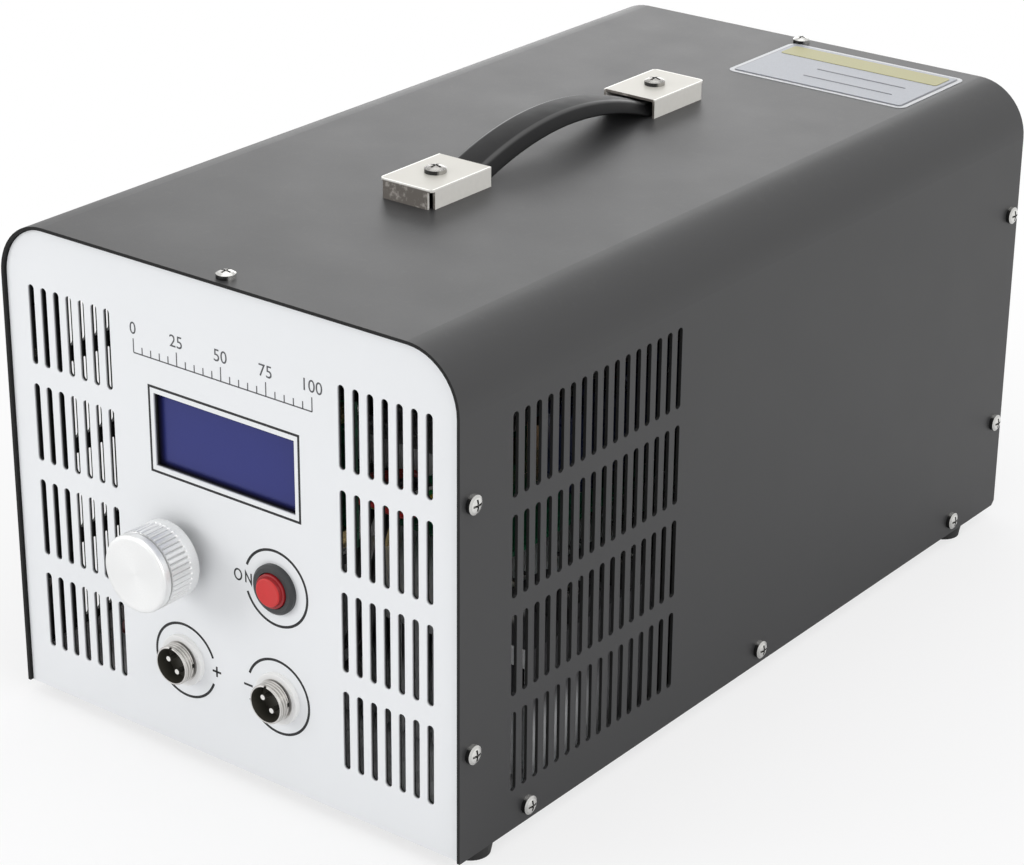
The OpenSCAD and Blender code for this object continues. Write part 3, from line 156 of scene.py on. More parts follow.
class Shader:
    """The node tree of one material or world."""

    def __init__(self, tree: bpy.types.NodeTree, output: str) -> None:
        """Empties the tree and adds its output node.

        Args:
            tree: The node tree to build in.
            output: Type name of the output node.
        """
        self.tree = tree
        tree.nodes.clear()
        self.output = tree.nodes.new(output)

    def node(
        self,
        kind: str,
        settings: Optional[dict] = None,
        inputs: Optional[dict] = None,
        output: Union[int, str] = 0,
    ) -> Signal:
        """Adds any node.

        Args:
            kind: The node's type name.
            settings: Its own settings, which are set first.
            inputs: Values or signals by socket name or number.
            output: Which of its outputs is returned.

        Returns:
            The chosen output.
        """
        made = self.tree.nodes.new(kind)
        for name, value in (settings or {}).items():
            setattr(made, name, value)
        for name, value in (inputs or {}).items():
            self.feed(made.inputs[name], value)
        return Signal(self, made.outputs[output])

    def feed(self, socket: bpy.types.NodeSocket, value: Value) -> None:
        """Links a signal to a socket, or sets the socket's own value.

        Args:
            socket: The input socket.
            value: A signal, a number, or a colour or vector.
        """
        if isinstance(value, Signal):
            self.tree.links.new(value.socket, socket)
        elif isinstance(value, tuple) and len(socket.default_value) == 4:
            socket.default_value = (*value, 1.0)
        else:
            socket.default_value = value

    def place(self) -> Signal:
        """The object's own coordinates, which are the shared frame's, in metres."""
        return self.node("ShaderNodeTexCoord", output="Object")

    def axis(self, axis: Axis) -> Signal:
        """One coordinate of the object's own place."""
        return self.node("ShaderNodeSeparateXYZ", inputs={0: self.place()}, output=int(axis))

    def offset(self, centre: Pair) -> tuple[Signal, Signal]:
        """The distances in x and z from an axis that runs along Y."""
        return self.axis(Axis.X) - centre[0], self.axis(Axis.Z) - centre[1]

    def radius(self, centre: Pair) -> Signal:
        """The distance from an axis that runs along Y."""
        across, up = self.offset(centre)
        return (across * across + up * up).math("SQRT")

    def normal(self, axis: Axis) -> Signal:
        """One part of the surface's own normal."""
        geometry = self.node("ShaderNodeNewGeometry", output="True Normal")
        return self.node("ShaderNodeSeparateXYZ", inputs={0: geometry}, output=int(axis))

    def facing(self, axis: Axis, turn: Pair) -> Signal:
        """1 on faces that look along an axis, either way, by a ramp on the normal."""
        return abs(self.normal(axis)).ramp(*turn)

    def noise(self, grain: float, detail: float = 2.0, stretch: Sequence[float] = (1, 1, 1)) -> Signal:
        """Soft noise between about 0.2 and 0.8.

        Args:
            grain: Size of one lump in metres.
            detail: How many finer layers it has.
            stretch: How many times longer a lump is along each axis.

        Returns:
            The noise value.
        """
        scale = tuple(1 / (grain * s) for s in stretch)
        spot = self.node("ShaderNodeMapping", inputs={"Vector": self.place(), "Scale": Vector(scale)})
        return self.node("ShaderNodeTexNoise", inputs={"Vector": spot, "Scale": 1.0, "Detail": detail})

    def cells(self, size: float) -> Signal:
        """A random level for each irregular cell.

        Args:
            size: Size of a cell in metres.

        Returns:
            The level, between 0 and 1.
        """
        inputs = {"Vector": self.place(), "Scale": 1 / size}
        colour = self.node("ShaderNodeTexVoronoi", inputs=inputs, output="Color")
        return self.node("ShaderNodeSeparateColor", inputs={0: colour})

    def mix(self, share: Value, first: Value, second: Value) -> Signal:
        """A colour between two, by a share from 0 to 1."""
        settings = {"data_type": "RGBA"}
        return self.node("ShaderNodeMix", settings, {0: share, 6: first, 7: second}, output=2)

    def bump(self, height: Signal, depth: float, strength: float = 1.0) -> Signal:
        """A bumped normal from a height between 0 and 1 and its depth in metres."""
        inputs = {"Height": height, "Distance": depth, "Strength": strength}
        return self.node("ShaderNodeBump", inputs=inputs)

    def surface(
        self, colour: Value, roughness: Value, normal: Optional[Signal] = None, **more: Value
    ) -> None:
        """Ends the tree in a Principled shader.

        Args:
            colour: Base colour.
            roughness: Roughness.
            normal: Bumped normal, where there is one.
            more: Other sockets by name, with _ for a space.
        """
        inputs = {"Base Color": colour, "Roughness": roughness}
        inputs.update({name.replace("_", " "): value for name, value in more.items()})
        if normal is not None:
            inputs["Normal"] = normal
        self.close(self.node("ShaderNodeBsdfPrincipled", inputs=inputs))

    def close(self, shader: Signal) -> None:
        """Links the last shader to the output."""
        self.tree.links.new(shader.socket, self.output.inputs["Surface"])


@dataclass(frozen=True)
class Finish:
    """A named surface finish. Each kind says how it is painted."""

    name: str
    colour: Colour
    roughness: float

    def material(self) -> bpy.types.Material:
        """Makes the finish's material once, and returns it.

        Returns:
            The material.
        """
        name = "finish_" + self.name
        if name in bpy.data.materials:
            return bpy.data.materials[name]
        made = bpy.data.materials.new(name)
        made.use_nodes = True
        self.paint(Shader(made.node_tree, "ShaderNodeOutputMaterial"))
        return made

    def shade(self, factor: float) -> Colour:
        """The finish's colour, lighter or darker by a factor."""
        return tuple(min(1.0, c * factor) for c in self.colour)

    def tone(self, shader: Shader, share: Signal, low: float, high: float) -> Signal:
        """The finish's colour, from low to high times itself as a share goes from 0 to 1."""
        return shader.mix(share, self.shade(low), self.shade(high))

    def paint(self, shader: Shader) -> None:
        """Builds the finish's nodes; each kind has its own."""
        raise NotImplementedError


@dataclass(frozen=True)
class PowderCoat(Finish):
    """Satin powder coat: fine orange peel, faint clouds of gloss, settled dust on top, and near-black
    painted shade on cut edges and inner faces.
    """

    # The first two fields switch on and colour the painted shade on cut edges and inner faces.
    inner_shade: float = 0.0
    inner_shade_colour: Colour = (0.004, 0.004, 0.004)
    peel: float = 0.45 * MM
    peel_depth: float = 0.012 * MM
    cloud: float = 22 * MM
    dust: float = 0.012
    dust_grain: float = 3 * MM
    dust_colour: Colour = (0.6, 0.6, 0.58)
    wall_reach: Pair = (-20 * MM, -40 * MM)

    def inward(self, shader: Shader) -> Signal:
        """Finds cut edges and faces that look into the case, which is open below, for painted shade.

        Args:
            shader: The material's nodes.

        Returns:
            1 on those faces.
        """
        edge = shader.facing(Axis.Y, (0.7, 0.9))
        wall = (shader.axis(Axis.X) * shader.normal(Axis.X)).ramp(*self.wall_reach)
        roof = shader.normal(Axis.Z).ramp(-0.3, -0.6)
        return edge.larger(wall).larger(roof)

    def paint(self, shader: Shader) -> None:
        """Peel goes to the bump, clouds to colour and gloss, dust to faces that look up; cut edges and
        inner faces may take painted shade.

        Args:
            shader: The material's nodes.
        """
        clouds = shader.noise(self.cloud, 3.0)
        peel = shader.noise(self.peel, 1.0)
        settled = shader.noise(self.dust_grain, 4.0).ramp(0.55, 0.8)
        dust = shader.normal(Axis.Z).ramp(0.5, 1.0) * settled
        coat = self.tone(shader, clouds, 0.9, 1.1)
        colour = shader.mix(dust * self.dust, coat, self.dust_colour)
        gloss = self.roughness + 0.1 * (clouds - 0.5) + 0.06 * (peel - 0.5)
        # Painted shade: cut edges and inner faces are darkened to near black and made rougher.
        if self.inner_shade:
            bare = self.inward(shader) * self.inner_shade
            colour = shader.mix(bare, colour, self.inner_shade_colour)
            gloss = gloss + 0.4 * bare
        shader.surface(colour, gloss, shader.bump(peel, self.peel_depth, 0.6))


@dataclass(frozen=True)
class PanelPaint(Finish):
    """White panel paint on the face, with painted shade behind it that darkens with depth down the cut
    walls of the slots and on the back.
    """

    face_y: float = 0.0
    # Painted shade for the cut walls and the back of the panel.
    behind_shade: Colour = (0.02, 0.02, 0.021)
    shade_depth: Pair = (0.05 * MM, 0.8 * MM)
    cloud: float = 30 * MM
    peel: float = 0.6 * MM
    peel_depth: float = 0.006 * MM

    def paint(self, shader: Shader) -> None:
        """The depth behind the face parts the paint from the painted shade.

        Args:
            shader: The material's nodes.
        """
        behind = (shader.axis(Axis.Y) - self.face_y).ramp(*self.shade_depth)
        clouds = shader.noise(self.cloud, 3.0)
        peel = shader.noise(self.peel, 1.0)
        # Painted shade: darker with depth down the cut walls and on the back.
        colour = shader.mix(behind, self.tone(shader, clouds, 0.985, 1.015), self.behind_shade)
        gloss = self.roughness + 0.05 * (clouds - 0.5) + 0.25 * behind
        shader.surface(colour, gloss, shader.bump(peel, self.peel_depth, 0.5))


@dataclass(frozen=True)
class PlatedMetal(Finish):
    """Bright plated metal with hairlines along Y, patchy gloss and a trace of tarnish."""

    tarnish: float = 0.15
    metal: float = 1.0
    worn: Colour = (0.35, 0.29, 0.24)
    hairline: float = 0.12 * MM
    hairline_depth: float = 0.004 * MM
    patch: float = 2.5 * MM

    def paint(self, shader: Shader) -> None:
        """Hairlines are noise stretched along Y; tarnish gathers in cloudy patches.

        Args:
            shader: The material's nodes.
        """
        lines = shader.noise(self.hairline, 2.0, (1, 40, 1))
        stain = shader.noise(self.patch, 4.0).ramp(0.5, 0.78) * self.tarnish
        colour = shader.mix(stain, self.colour, self.worn)
        gloss = self.roughness + 0.18 * (lines - 0.5) + 0.22 * stain
        normal = shader.bump(lines, self.hairline_depth, 0.35)
        shader.surface(colour, gloss, normal, Metallic=self.metal)


@dataclass(frozen=True)
class HeadPlate(Finish):
    """Plated screw heads with painted light: faces that look sideways or up are bright, and rims and
    recess walls take painted shade.
    """

    # Painted shade for rims and recess walls.
    rim: Colour = (0.04, 0.04, 0.04)
    grain: float = 0.5 * MM

    def paint(self, shader: Shader) -> None:
        """Faces look sideways or up; everything else is rim or wall.

        Args:
            shader: The material's nodes.
        """
        # Painted light: faces that look sideways or up take the bright colour, the rest the painted
        # shade.
        face = abs(shader.normal(Axis.X)).larger(shader.normal(Axis.Z)).ramp(0.7, 0.95)
        gloss = self.roughness + 0.15 * (shader.noise(self.grain, 2.0) - 0.5)
        shader.surface(shader.mix(face, self.rim, self.colour), gloss, Metallic=0.8)


@dataclass(frozen=True)
class CapNickel(Finish):
    """Satin nickel on the handle caps with painted light: painted shade with a few lighter scuffs on the
    outer end faces, a top painted darker than the sides, and a painted highlight along the folds.
    """

    middle: Place = (0.0, 0.0, 0.0)
    half: Place = (0.0, 0.0, 0.0)
    fold: Pair = (0.7 * MM, 0.2 * MM)
    # Colours: a painted highlight on the folds, painted shade on the end faces, real scuffs, and a
    # painted darker top.
    bright: Colour = (1.0, 0.985, 0.94)
    end_shade: Colour = (0.15, 0.135, 0.12)
    scuff: Colour = (0.42, 0.39, 0.36)
    top_shade: Colour = (0.56, 0.545, 0.5)
    lump: float = 1.6 * MM
    hairline: float = 0.15 * MM
    hairline_depth: float = 0.004 * MM

    def near(self, shader: Shader, axis: Axis) -> Signal:
        """1 close to the outer limit of the two caps along an axis."""
        inward = self.half[axis] - abs(shader.axis(axis) - self.middle[axis])
        return inward.ramp(*self.fold)

    def paint(self, shader: Shader) -> None:
        """End faces look along Y; folds lie where the top meets a side or an end.

        Args:
            shader: The material's nodes.
        """
        end = shader.facing(Axis.Y, (0.75, 0.95))
        lumps = shader.noise(self.lump, 4.0)
        lines = shader.noise(self.hairline, 2.0, (1, 30, 1))
        # Painted shade on the end faces, broken by lumps of lighter scuffs.
        scuffed_end_shade = shader.mix(lumps.ramp(0.5, 0.75), self.end_shade, self.scuff)
        top = shader.normal(Axis.Z).ramp(0.5, 0.9)
        # Painted light: the sides keep the bright nickel and the top is painted darker.
        sides_lit_top_shaded = shader.mix(top, self.tone(shader, lumps, 0.96, 1.04), self.top_shade)
        under = self.middle[Axis.Z] + self.half[Axis.Z] - shader.axis(Axis.Z)
        # Painted highlight along the folds at the top's edges.
        rim = self.near(shader, Axis.X).larger(self.near(shader, Axis.Y)) * under.ramp(*self.fold)
        colour = shader.mix(rim, shader.mix(end, sides_lit_top_shaded, scuffed_end_shade), self.bright)
        gloss = self.roughness + 0.2 * (lines - 0.5) + 0.1 * end - 0.15 * rim
        shader.surface(colour, gloss, shader.bump(lines, self.hairline_depth, 0.4), Metallic=0.1)


@dataclass(frozen=True)
class SpunMetal(Finish):
    """Turned aluminium about an axis along Y: lathe rings, a painted fan of sheen on the face, and
    painted shade in the flutes.
    """

    centre: Pair = (0.0, 0.0)
    rim: float = 11.7 * MM
    face_y: float = 0.0
    pitch: float = 0.16 * MM
    ring_depth: float = 0.012 * MM
    wander: float = 1.5 * MM
    grain: float = 0.4 * MM
    # Turn of the painted sheen fan on the face.
    fan_turn: float = 0.6
    face_edge: Pair = (0.9 * MM, 1.3 * MM)
    flute: Pair = (0.22 * MM, 0.5 * MM)
    # Painted shade for the flute valleys.
    flute_shade: Colour = (0.06, 0.06, 0.065)

    def paint(self, shader: Shader) -> None:
        """Rings follow the distance from the axis; they go to the bump and the gloss.

        Args:
            shader: The material's nodes.
        """
        across, up = shader.offset(self.centre)
        # Painted sheen: a bow-tie fan of lighter and darker sectors, used on the face.
        fan = 0.5 + 0.5 * (2 * up.math("ARCTAN2", across) + self.fan_turn).sine()
        radius = shader.radius(self.centre)
        phase = radius * (2 * math.pi / self.pitch) + 2.0 * shader.noise(self.wander, 2.0)
        ring = 0.5 + 0.5 * phase.sine()
        fine = shader.noise(self.grain, 3.0)
        behind = (shader.axis(Axis.Y) - self.face_y).ramp(*self.face_edge)
        # Painted shade in the flute valleys, from the depth below the rim.
        valley_shade = behind * (self.rim - radius).ramp(*self.flute)
        colour = self.tone(shader, fine, 0.94, 1.05)
        colour = shader.mix((1 - behind) * fan, colour, self.shade(0.95))
        colour = shader.mix(0.35 * valley_shade, colour, self.flute_shade)
        gloss = self.roughness + 0.1 * (ring - 0.5) + 0.1 * (fine - 0.5)
        shader.surface(colour, gloss, shader.bump(ring, self.ring_depth, 0.7), Metallic=0.7)


@dataclass(frozen=True)
class ThreadPlate(Finish):
    """Nickel on a screw socket: pale flange, bright crests, painted shade in the thread valleys and a
    painted shadow in the relief groove.
    """

    centre: Pair = (0.0, 0.0)
    crest: float = 6.0 * MM
    thread: Pair = (0.05 * MM, 0.35 * MM)
    root: Pair = (0.42 * MM, 0.5 * MM)
    flange_edge: Pair = (-0.1 * MM, -0.3 * MM)
    patch: float = 1.5 * MM
    flange: Colour = (0.84, 0.84, 0.83)
    # Painted shade for the thread valleys and painted shadow for the relief groove.
    valley_shade: Colour = (0.28, 0.265, 0.245)
    relief: Colour = (0.012, 0.011, 0.01)

    def paint(self, shader: Shader) -> None:
        """The depth below the crests parts flange, crests, and the painted shade of valleys and relief.

        Args:
            shader: The material's nodes.
        """
        below = self.crest - shader.radius(self.centre)
        wall = shader.facing(Axis.Y, (0.95, 0.8))
        wide = below.ramp(*self.flange_edge)
        patches = shader.noise(self.patch, 3.0)
        colour = self.tone(shader, patches, 0.85, 1.1)
        # Painted shade in the thread valleys.
        colour = shader.mix(0.8 * (wall * below.ramp(*self.thread)), colour, self.valley_shade)
        # Painted shadow, near black, in the relief groove at the foot of the thread.
        colour = shader.mix(wall * below.ramp(*self.root), colour, self.relief)
        colour = shader.mix(wide, colour, self.flange)
        gloss = self.roughness + 0.1 * (patches - 0.5) + 0.15 * wide
        shader.surface(colour, gloss, Metallic=0.65 * (1 - wide))


@dataclass(frozen=True)
class PinSilver(Finish):
    """Contact pins: bright ends, and sides painted dark as shade from the socket around them."""

    # Painted shade on the pins' sides.
    side: Colour = (0.14, 0.135, 0.12)
    grain: float = 0.4 * MM

    def paint(self, shader: Shader) -> None:
        """Ends look along Y.

        Args:
            shader: The material's nodes.
        """
        end = shader.facing(Axis.Y, (0.7, 0.95))
        gloss = self.roughness + 0.1 * (shader.noise(self.grain, 2.0) - 0.5)
        # Painted shade on the sides; the ends keep the bright colour.
        shader.surface(shader.mix(end, self.side, self.colour), gloss, Metallic=0.6)


@dataclass(frozen=True)
class ZincSheet(Finish):
    """Zinc-plated sheet with a soft spangle."""

    spangle: float = 6 * MM
    grain: float = 0.5 * MM
    grain_depth: float = 0.004 * MM

    def paint(self, shader: Shader) -> None:
        """Each spangle cell has its own level of colour and gloss.

        Args:
            shader: The material's nodes.
        """
        cell = shader.cells(self.spangle)
        fine = shader.noise(self.grain, 2.0)
        gloss = self.roughness + 0.15 * (cell - 0.5) + 0.1 * (fine - 0.5)
        normal = shader.bump(fine, self.grain_depth, 0.3)
        shader.surface(self.tone(shader, cell, 0.86, 1.08), gloss, normal, Metallic=0.3)


@dataclass(frozen=True)
class Extrusion(Finish):
    """Extruded aluminium with die lines along its length; flanks and right shoulder carry painted shade.
    """

    # Painted shade for the flanks and the right shoulder, left off low at the front.
    flank_shade: Colour = (0.09, 0.09, 0.095)
    shoulder_x: Pair = (58 * MM, 62 * MM)
    lit_z: Pair = (34 * MM, 22 * MM)
    lit_y: Pair = (-55 * MM, -85 * MM)
    cloud: float = 9 * MM
    die_line: float = 0.25 * MM
    die_depth: float = 0.01 * MM

    def paint(self, shader: Shader) -> None:
        """Die lines are noise stretched along Y; the painted shade is left off low at the front.

        Args:
            shader: The material's nodes.
        """
        lines = shader.noise(self.die_line, 3.0, (1, 120, 1))
        clouds = shader.noise(self.cloud, 3.0)
        side = shader.facing(Axis.X, (0.6, 0.9))
        right = shader.axis(Axis.X).ramp(*self.shoulder_x)
        shoulder = shader.normal(Axis.Z).ramp(0.6, 0.9) * right
        # Painted shade on flanks and right shoulder, except low at the front.
        bare = shader.axis(Axis.Z).ramp(*self.lit_z) * shader.axis(Axis.Y).ramp(*self.lit_y)
        coat = side.larger(shoulder) * (1 - bare)
        colour = shader.mix(coat, self.tone(shader, clouds, 0.88, 1.06), self.flank_shade)
        gloss = self.roughness + 0.2 * (lines - 0.5)
        shader.surface(colour, gloss, shader.bump(lines, self.die_depth, 0.5), Metallic=0.2)


@dataclass(frozen=True)
class Moulded(Finish):
    """Moulded plastic or rubber with a fine grain and faint handling marks."""

    grain: float = 0.3 * MM
    depth: float = 0.01 * MM
    shine: float = 0.5
    cloud: float = 5 * MM
    # A painted highlight line along Y at this distance from the middle, with its width and colour.
    highlight_x: float = 0.0
    highlight_edge: Pair = (1.0 * MM, 0.2 * MM)
    edge_highlight: Colour = (0.06, 0.06, 0.06)

    def paint(self, shader: Shader) -> None:
        """Grain goes to the bump, clouds to colour and gloss; a painted highlight line may run along Y.

        Args:
            shader: The material's nodes.
        """
        grain = shader.noise(self.grain, 2.0)
        clouds = shader.noise(self.cloud, 3.0)
        colour = self.tone(shader, clouds, 0.88, 1.12)
        gloss = self.roughness + 0.12 * (clouds - 0.5)
        if self.highlight_x:
            # Painted highlight line along the strap's upper edges.
            line = abs(abs(shader.axis(Axis.X)) - self.highlight_x).ramp(*self.highlight_edge)
            colour = shader.mix(line, colour, self.edge_highlight)
            gloss = gloss - 0.2 * line
        normal = shader.bump(grain, self.depth, 0.6)
        shader.surface(colour, gloss, normal, Specular_IOR_Level=self.shine)


@dataclass(frozen=True)
class RockerPlastic(Finish):
    """Black rocker plastic with the plain on bar and off ring in white on its face."""

    centre: Pair = (0.0, 0.0)
    spread: float = 3.3 * MM
    size: float = 1.3 * MM
    line: float = 0.22 * MM
    mark: Colour = (0.75, 0.75, 0.73)
    grain: float = 0.3 * MM
    grain_depth: float = 0.008 * MM

    def paint(self, shader: Shader) -> None:
        """The bar lies above the axle and the ring below it, both seen along Y.

        Args:
            shader: The material's nodes.
        """
        edge = (self.line, 0.6 * self.line)
        across, up = shader.offset(self.centre)
        below = (self.centre[0], self.centre[1] - self.spread)
        ring = abs(shader.radius(below) - self.size).ramp(*edge)
        bar = abs(across).ramp(*edge) * abs(up - self.spread).ramp(self.size, 0.95 * self.size)
        grain = shader.noise(self.grain, 2.0)
        colour = shader.mix(ring.larger(bar), self.colour, self.mark)
        gloss = self.roughness + 0.1 * (grain - 0.5)
        shader.surface(colour, gloss, shader.bump(grain, self.grain_depth, 0.4))


@dataclass(frozen=True)
class DisplayGlass(Finish):
    """Unlit blue display: faint pixel grid, and a dark border behind clear glass whose soft inner fade
    is painted shade from the frame.
    """

    centre: Pair = (0.0, 0.0)
    half: Pair = (26 * MM, 11 * MM)
    dot: float = 0.5 * MM
    cloud: float = 25 * MM
    # Dark border colour; its soft inner fade is painted shade from the frame.
    border: Colour = (0.012, 0.011, 0.03)
    border_out: float = 0.4 * MM
    border_in: Pair = (2.6 * MM, 2.0 * MM)

    def paint(self, shader: Shader) -> None:
        """The border darkens towards the window's edges as painted shade; the grid is the sum of two
        sines.

        Args:
            shader: The material's nodes.
        """
        across, up = shader.offset(self.centre)
        turn = 2 * math.pi / self.dot
        grid = 0.5 + 0.25 * ((across * turn).sine() + (up * turn).sine())
        wide, high = (
            abs(place).ramp(half + self.border_out, half - depth)
            for place, half, depth in zip((across, up), self.half, self.border_in)
        )
        level = grid * 0.5 + shader.noise(self.cloud, 2.0) * 0.5
        colour = shader.mix(wide * high, self.border, self.tone(shader, level, 0.9, 1.12))
        shader.surface(colour, self.roughness, Specular_IOR_Level=0.3)


@dataclass(frozen=True)
class SolderMask(Finish):
    """Circuit board: green mask with pale copper runs below it and tinned pads."""

    run: float = 3.3 * MM
    pad_pitch: float = 3.2 * MM
    tin: Colour = (0.55, 0.55, 0.52)

    def paint(self, shader: Shader) -> None:
        """Runs are thin bands of a stretched noise; pads are the centres of small cells.

        Args:
            shader: The material's nodes.
        """
        runs = abs(shader.noise(self.run, 0.0, (1, 5, 1)) - 0.5).ramp(0.05, 0.03)
        inputs = {"Vector": shader.place(), "Scale": 1 / self.pad_pitch}
        pad = shader.node("ShaderNodeTexVoronoi", inputs=inputs).ramp(0.16, 0.12)
        mask = shader.mix(runs, self.colour, self.shade(1.7))
        colour = shader.mix(pad, mask, self.tin)
        shader.surface(colour, self.roughness + 0.1 * pad, Metallic=0.8 * pad)


@dataclass(frozen=True)
class Ink(Finish):
    """Screen ink: flat, with a slightly broken tone."""

    grain: float = 0.4 * MM

    def paint(self, shader: Shader) -> None:
        """Fine noise breaks the tone."""
        fine = shader.noise(self.grain, 2.0)
        shader.surface(self.tone(shader, fine, 0.8, 1.25), self.roughness + 0.1 * (fine - 0.5))


# Shared finishes, each with its name, colour and roughness
COVER_COAT = PowderCoat("cover_coat", (0.032, 0.032, 0.033), 0.46, inner_shade=1.0)
REAR_COAT = PowderCoat("rear_coat", (0.032, 0.032, 0.033), 0.46)
SCREW_PLATE = PlatedMetal("screw_plate", (0.55, 0.545, 0.52), 0.26)
HEAD_PLATE = HeadPlate("head_plate", (0.72, 0.715, 0.69), 0.22)
HANDLE_PLATE = HeadPlate("handle_plate", (0.42, 0.41, 0.39), 0.25)
DARK_OXIDE = PlatedMetal("dark_oxide", (0.03, 0.03, 0.032), 0.5)
SPRING_STEEL = PlatedMetal("spring_steel", (0.55, 0.55, 0.54), 0.3)
SOCKET_NICKEL = PlatedMetal("socket_nickel", (0.74, 0.72, 0.69), 0.3, tarnish=0.3, metal=0.75)
PIN_SILVER = PinSilver("pin_silver", (0.8, 0.79, 0.76), 0.3)
BLADE_NICKEL = PlatedMetal("blade_nickel", (0.85, 0.84, 0.8), 0.2)
GUARD_CHROME = PlatedMetal("guard_chrome", (0.75, 0.75, 0.74), 0.16)
POST_BRASS = PlatedMetal("post_brass", (0.78, 0.6, 0.3), 0.3)
SHUNT_ALLOY = PlatedMetal("shunt_alloy", (0.72, 0.48, 0.3), 0.35)
TRAY_ZINC = ZincSheet("tray_zinc", (0.84, 0.85, 0.86), 0.38)
SUPPLY_SHEET = ZincSheet("supply_sheet", (0.7, 0.71, 0.71), 0.42, spangle=3 * MM)
SINK_ALUMINIUM = Extrusion("sink_aluminium", (0.88, 0.89, 0.9), 0.42)
FOOT_RUBBER = Moulded("foot_rubber", (0.018, 0.018, 0.018), 0.62, grain=0.5 * MM)
STRAP_RUBBER = Moulded(
    "strap_rubber", (0.004, 0.004, 0.0045), 0.55, 0.4 * MM, 0.012 * MM, 0.25, highlight_x=4.9 * MM
)
BEZEL_BLACK = Moulded("bezel_black", (0.03, 0.032, 0.034), 0.4)
CASE_BLACK = Moulded("case_black", (0.02, 0.02, 0.021), 0.5)
FRAME_BLACK = Moulded("frame_black", (0.003, 0.003, 0.003), 0.7, shine=0.2)
INSERT_BLACK = Moulded("insert_black", (0.045, 0.042, 0.033), 0.45)
BUTTON_RED = Moulded("button_red", (0.56, 0.016, 0.016), 0.4, grain=0.25 * MM, depth=0.004 * MM)
# A darker copy of the button's red, painted shade for the cap's skirt and step.
BUTTON_SKIRT_SHADE = Moulded("button_skirt", (0.3, 0.008, 0.012), 0.4, grain=0.25 * MM, depth=0.004 * MM)
NYLON = Moulded("nylon", (0.75, 0.75, 0.7), 0.45)
LIGHT_GUIDE = Moulded("light_guide", (0.75, 0.78, 0.82), 0.4)
CHIP_BLACK = Moulded("chip_black", (0.028, 0.028, 0.03), 0.55)
SLEEVE_BLUE = Moulded("sleeve_blue", (0.02, 0.03, 0.09), 0.28)
BOARD_GREEN = SolderMask("board_green", (0.012, 0.11, 0.05), 0.35)
PRINT_INK = Ink("print_ink", (0.008, 0.008, 0.009), 0.6)
SCALE_INK = Ink("scale_ink", (0.07, 0.072, 0.078), 0.6)
FILM_WHITE = Ink("film_white", (0.46, 0.47, 0.49), 0.4)
FILM_FIELD = Ink("film_field", (0.275, 0.29, 0.325), 0.4)
FILM_BAND = Ink("film_band", (0.28, 0.26, 0.08), 0.4)
FILM_RULE = Ink("film_rule", (0.14, 0.145, 0.16), 0.4)


# Surfaces worked out as arrays
def grid_faces(rows: int, cols: int, wrap_rows: bool, wrap_cols: bool) -> np.ndarray:
    """Quads of a grid of points, row by row.

    Args:
        rows: Number of rows.
        cols: Number of points in a row.
        wrap_rows: Whether the last row joins the first.
        wrap_cols: Whether each row is a closed ring.

    Returns:
        Corner numbers, four to a face.
    """
    spans = np.arange(rows - (not wrap_rows)), np.arange(cols - (not wrap_cols))
    r, c = (part.ravel() for part in np.meshgrid(*spans, indexing="ij"))
    after_r, after_c = (r + 1) % rows, (c + 1) % cols
    corners = [r * cols + c, r * cols + after_c, after_r * cols + after_c, after_r * cols + c]
    return np.stack(corners, axis=1)


@dataclass
class Sheet:
    """A grid of points in the shared frame that becomes one piece."""

    points: np.ndarray
    wrap_rows: bool = False
    wrap_cols: bool = True
    capped: bool = False
    crease: float = CREASE
    second_rows: tuple[int, int] = (0, 0)

    def piece(self, name: str, *finishes: Finish) -> bpy.types.Object:
        """Makes the mesh object, with its doubles merged and its faces outwards.

        Args:
            name: The piece's name.
            finishes: The main finish, and a second one for the rows in second_rows.

        Returns:
            The new object.
        """
        rows, cols = self.points.shape[:2]
        faces = grid_faces(rows, cols, self.wrap_rows, self.wrap_cols).tolist()
        if self.capped:
            faces.append(list(range(cols - 1, -1, -1)))
            faces.append(list(range((rows - 1) * cols, rows * cols)))
        mesh = bpy.data.meshes.new(name)
        mesh.from_pydata(self.points.reshape(-1, 3).tolist(), [], faces)
        first, last = self.second_rows
        per_row = cols if self.wrap_cols else cols - 1
        index = np.zeros(len(mesh.polygons), np.int32)
        index[first * per_row:last * per_row] = 1
        mesh.polygons.foreach_set("material_index", index)
        return finish_mesh(mesh, name, finishes, self.crease)


def finish_mesh(
    mesh: bpy.types.Mesh, name: str, finishes: Iterable[Finish], crease: float = CREASE
) -> bpy.types.Object:
    """Cleans a mesh and makes it an object with its finishes.

    Args:
        mesh: The mesh, in the shared frame.
        name: Name of the object.
        finishes: Finishes for its material slots.
        crease: Edges sharper than this many degrees stay sharp.

    Returns:
        The new object, linked to the scene.
    """
    work = bmesh.new()
    work.from_mesh(mesh)
    bmesh.ops.remove_doubles(work, verts=work.verts, dist=MERGE_DISTANCE)
    bmesh.ops.dissolve_degenerate(work, edges=work.edges, dist=SHORTEST_EDGE)
    bmesh.ops.recalc_face_normals(work, faces=work.faces)
    work.to_mesh(mesh)
    work.free()
    mesh.shade_smooth()
    mesh.set_sharp_from_angle(angle=math.radians(crease))
    for finish in finishes:
        mesh.materials.append(finish.material())
    made = bpy.data.objects.new(name, mesh)
    bpy.context.scene.collection.objects.link(made)
    return made


def add_piece(piece: bpy.types.Object, body: Body, nodes: Sequence[str] = ()) -> None:
    """Ties a new piece to its body and the nodes that it stands for.

    Args:
        piece: The new piece.
        body: The body that it rides on.
        nodes: Solids that it replaces.
    """
    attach(piece, body.value)
    if nodes:
        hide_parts(*nodes)
    LOG.info("piece %s on %s, %d faces", piece.name, body.value, len(piece.data.polygons))


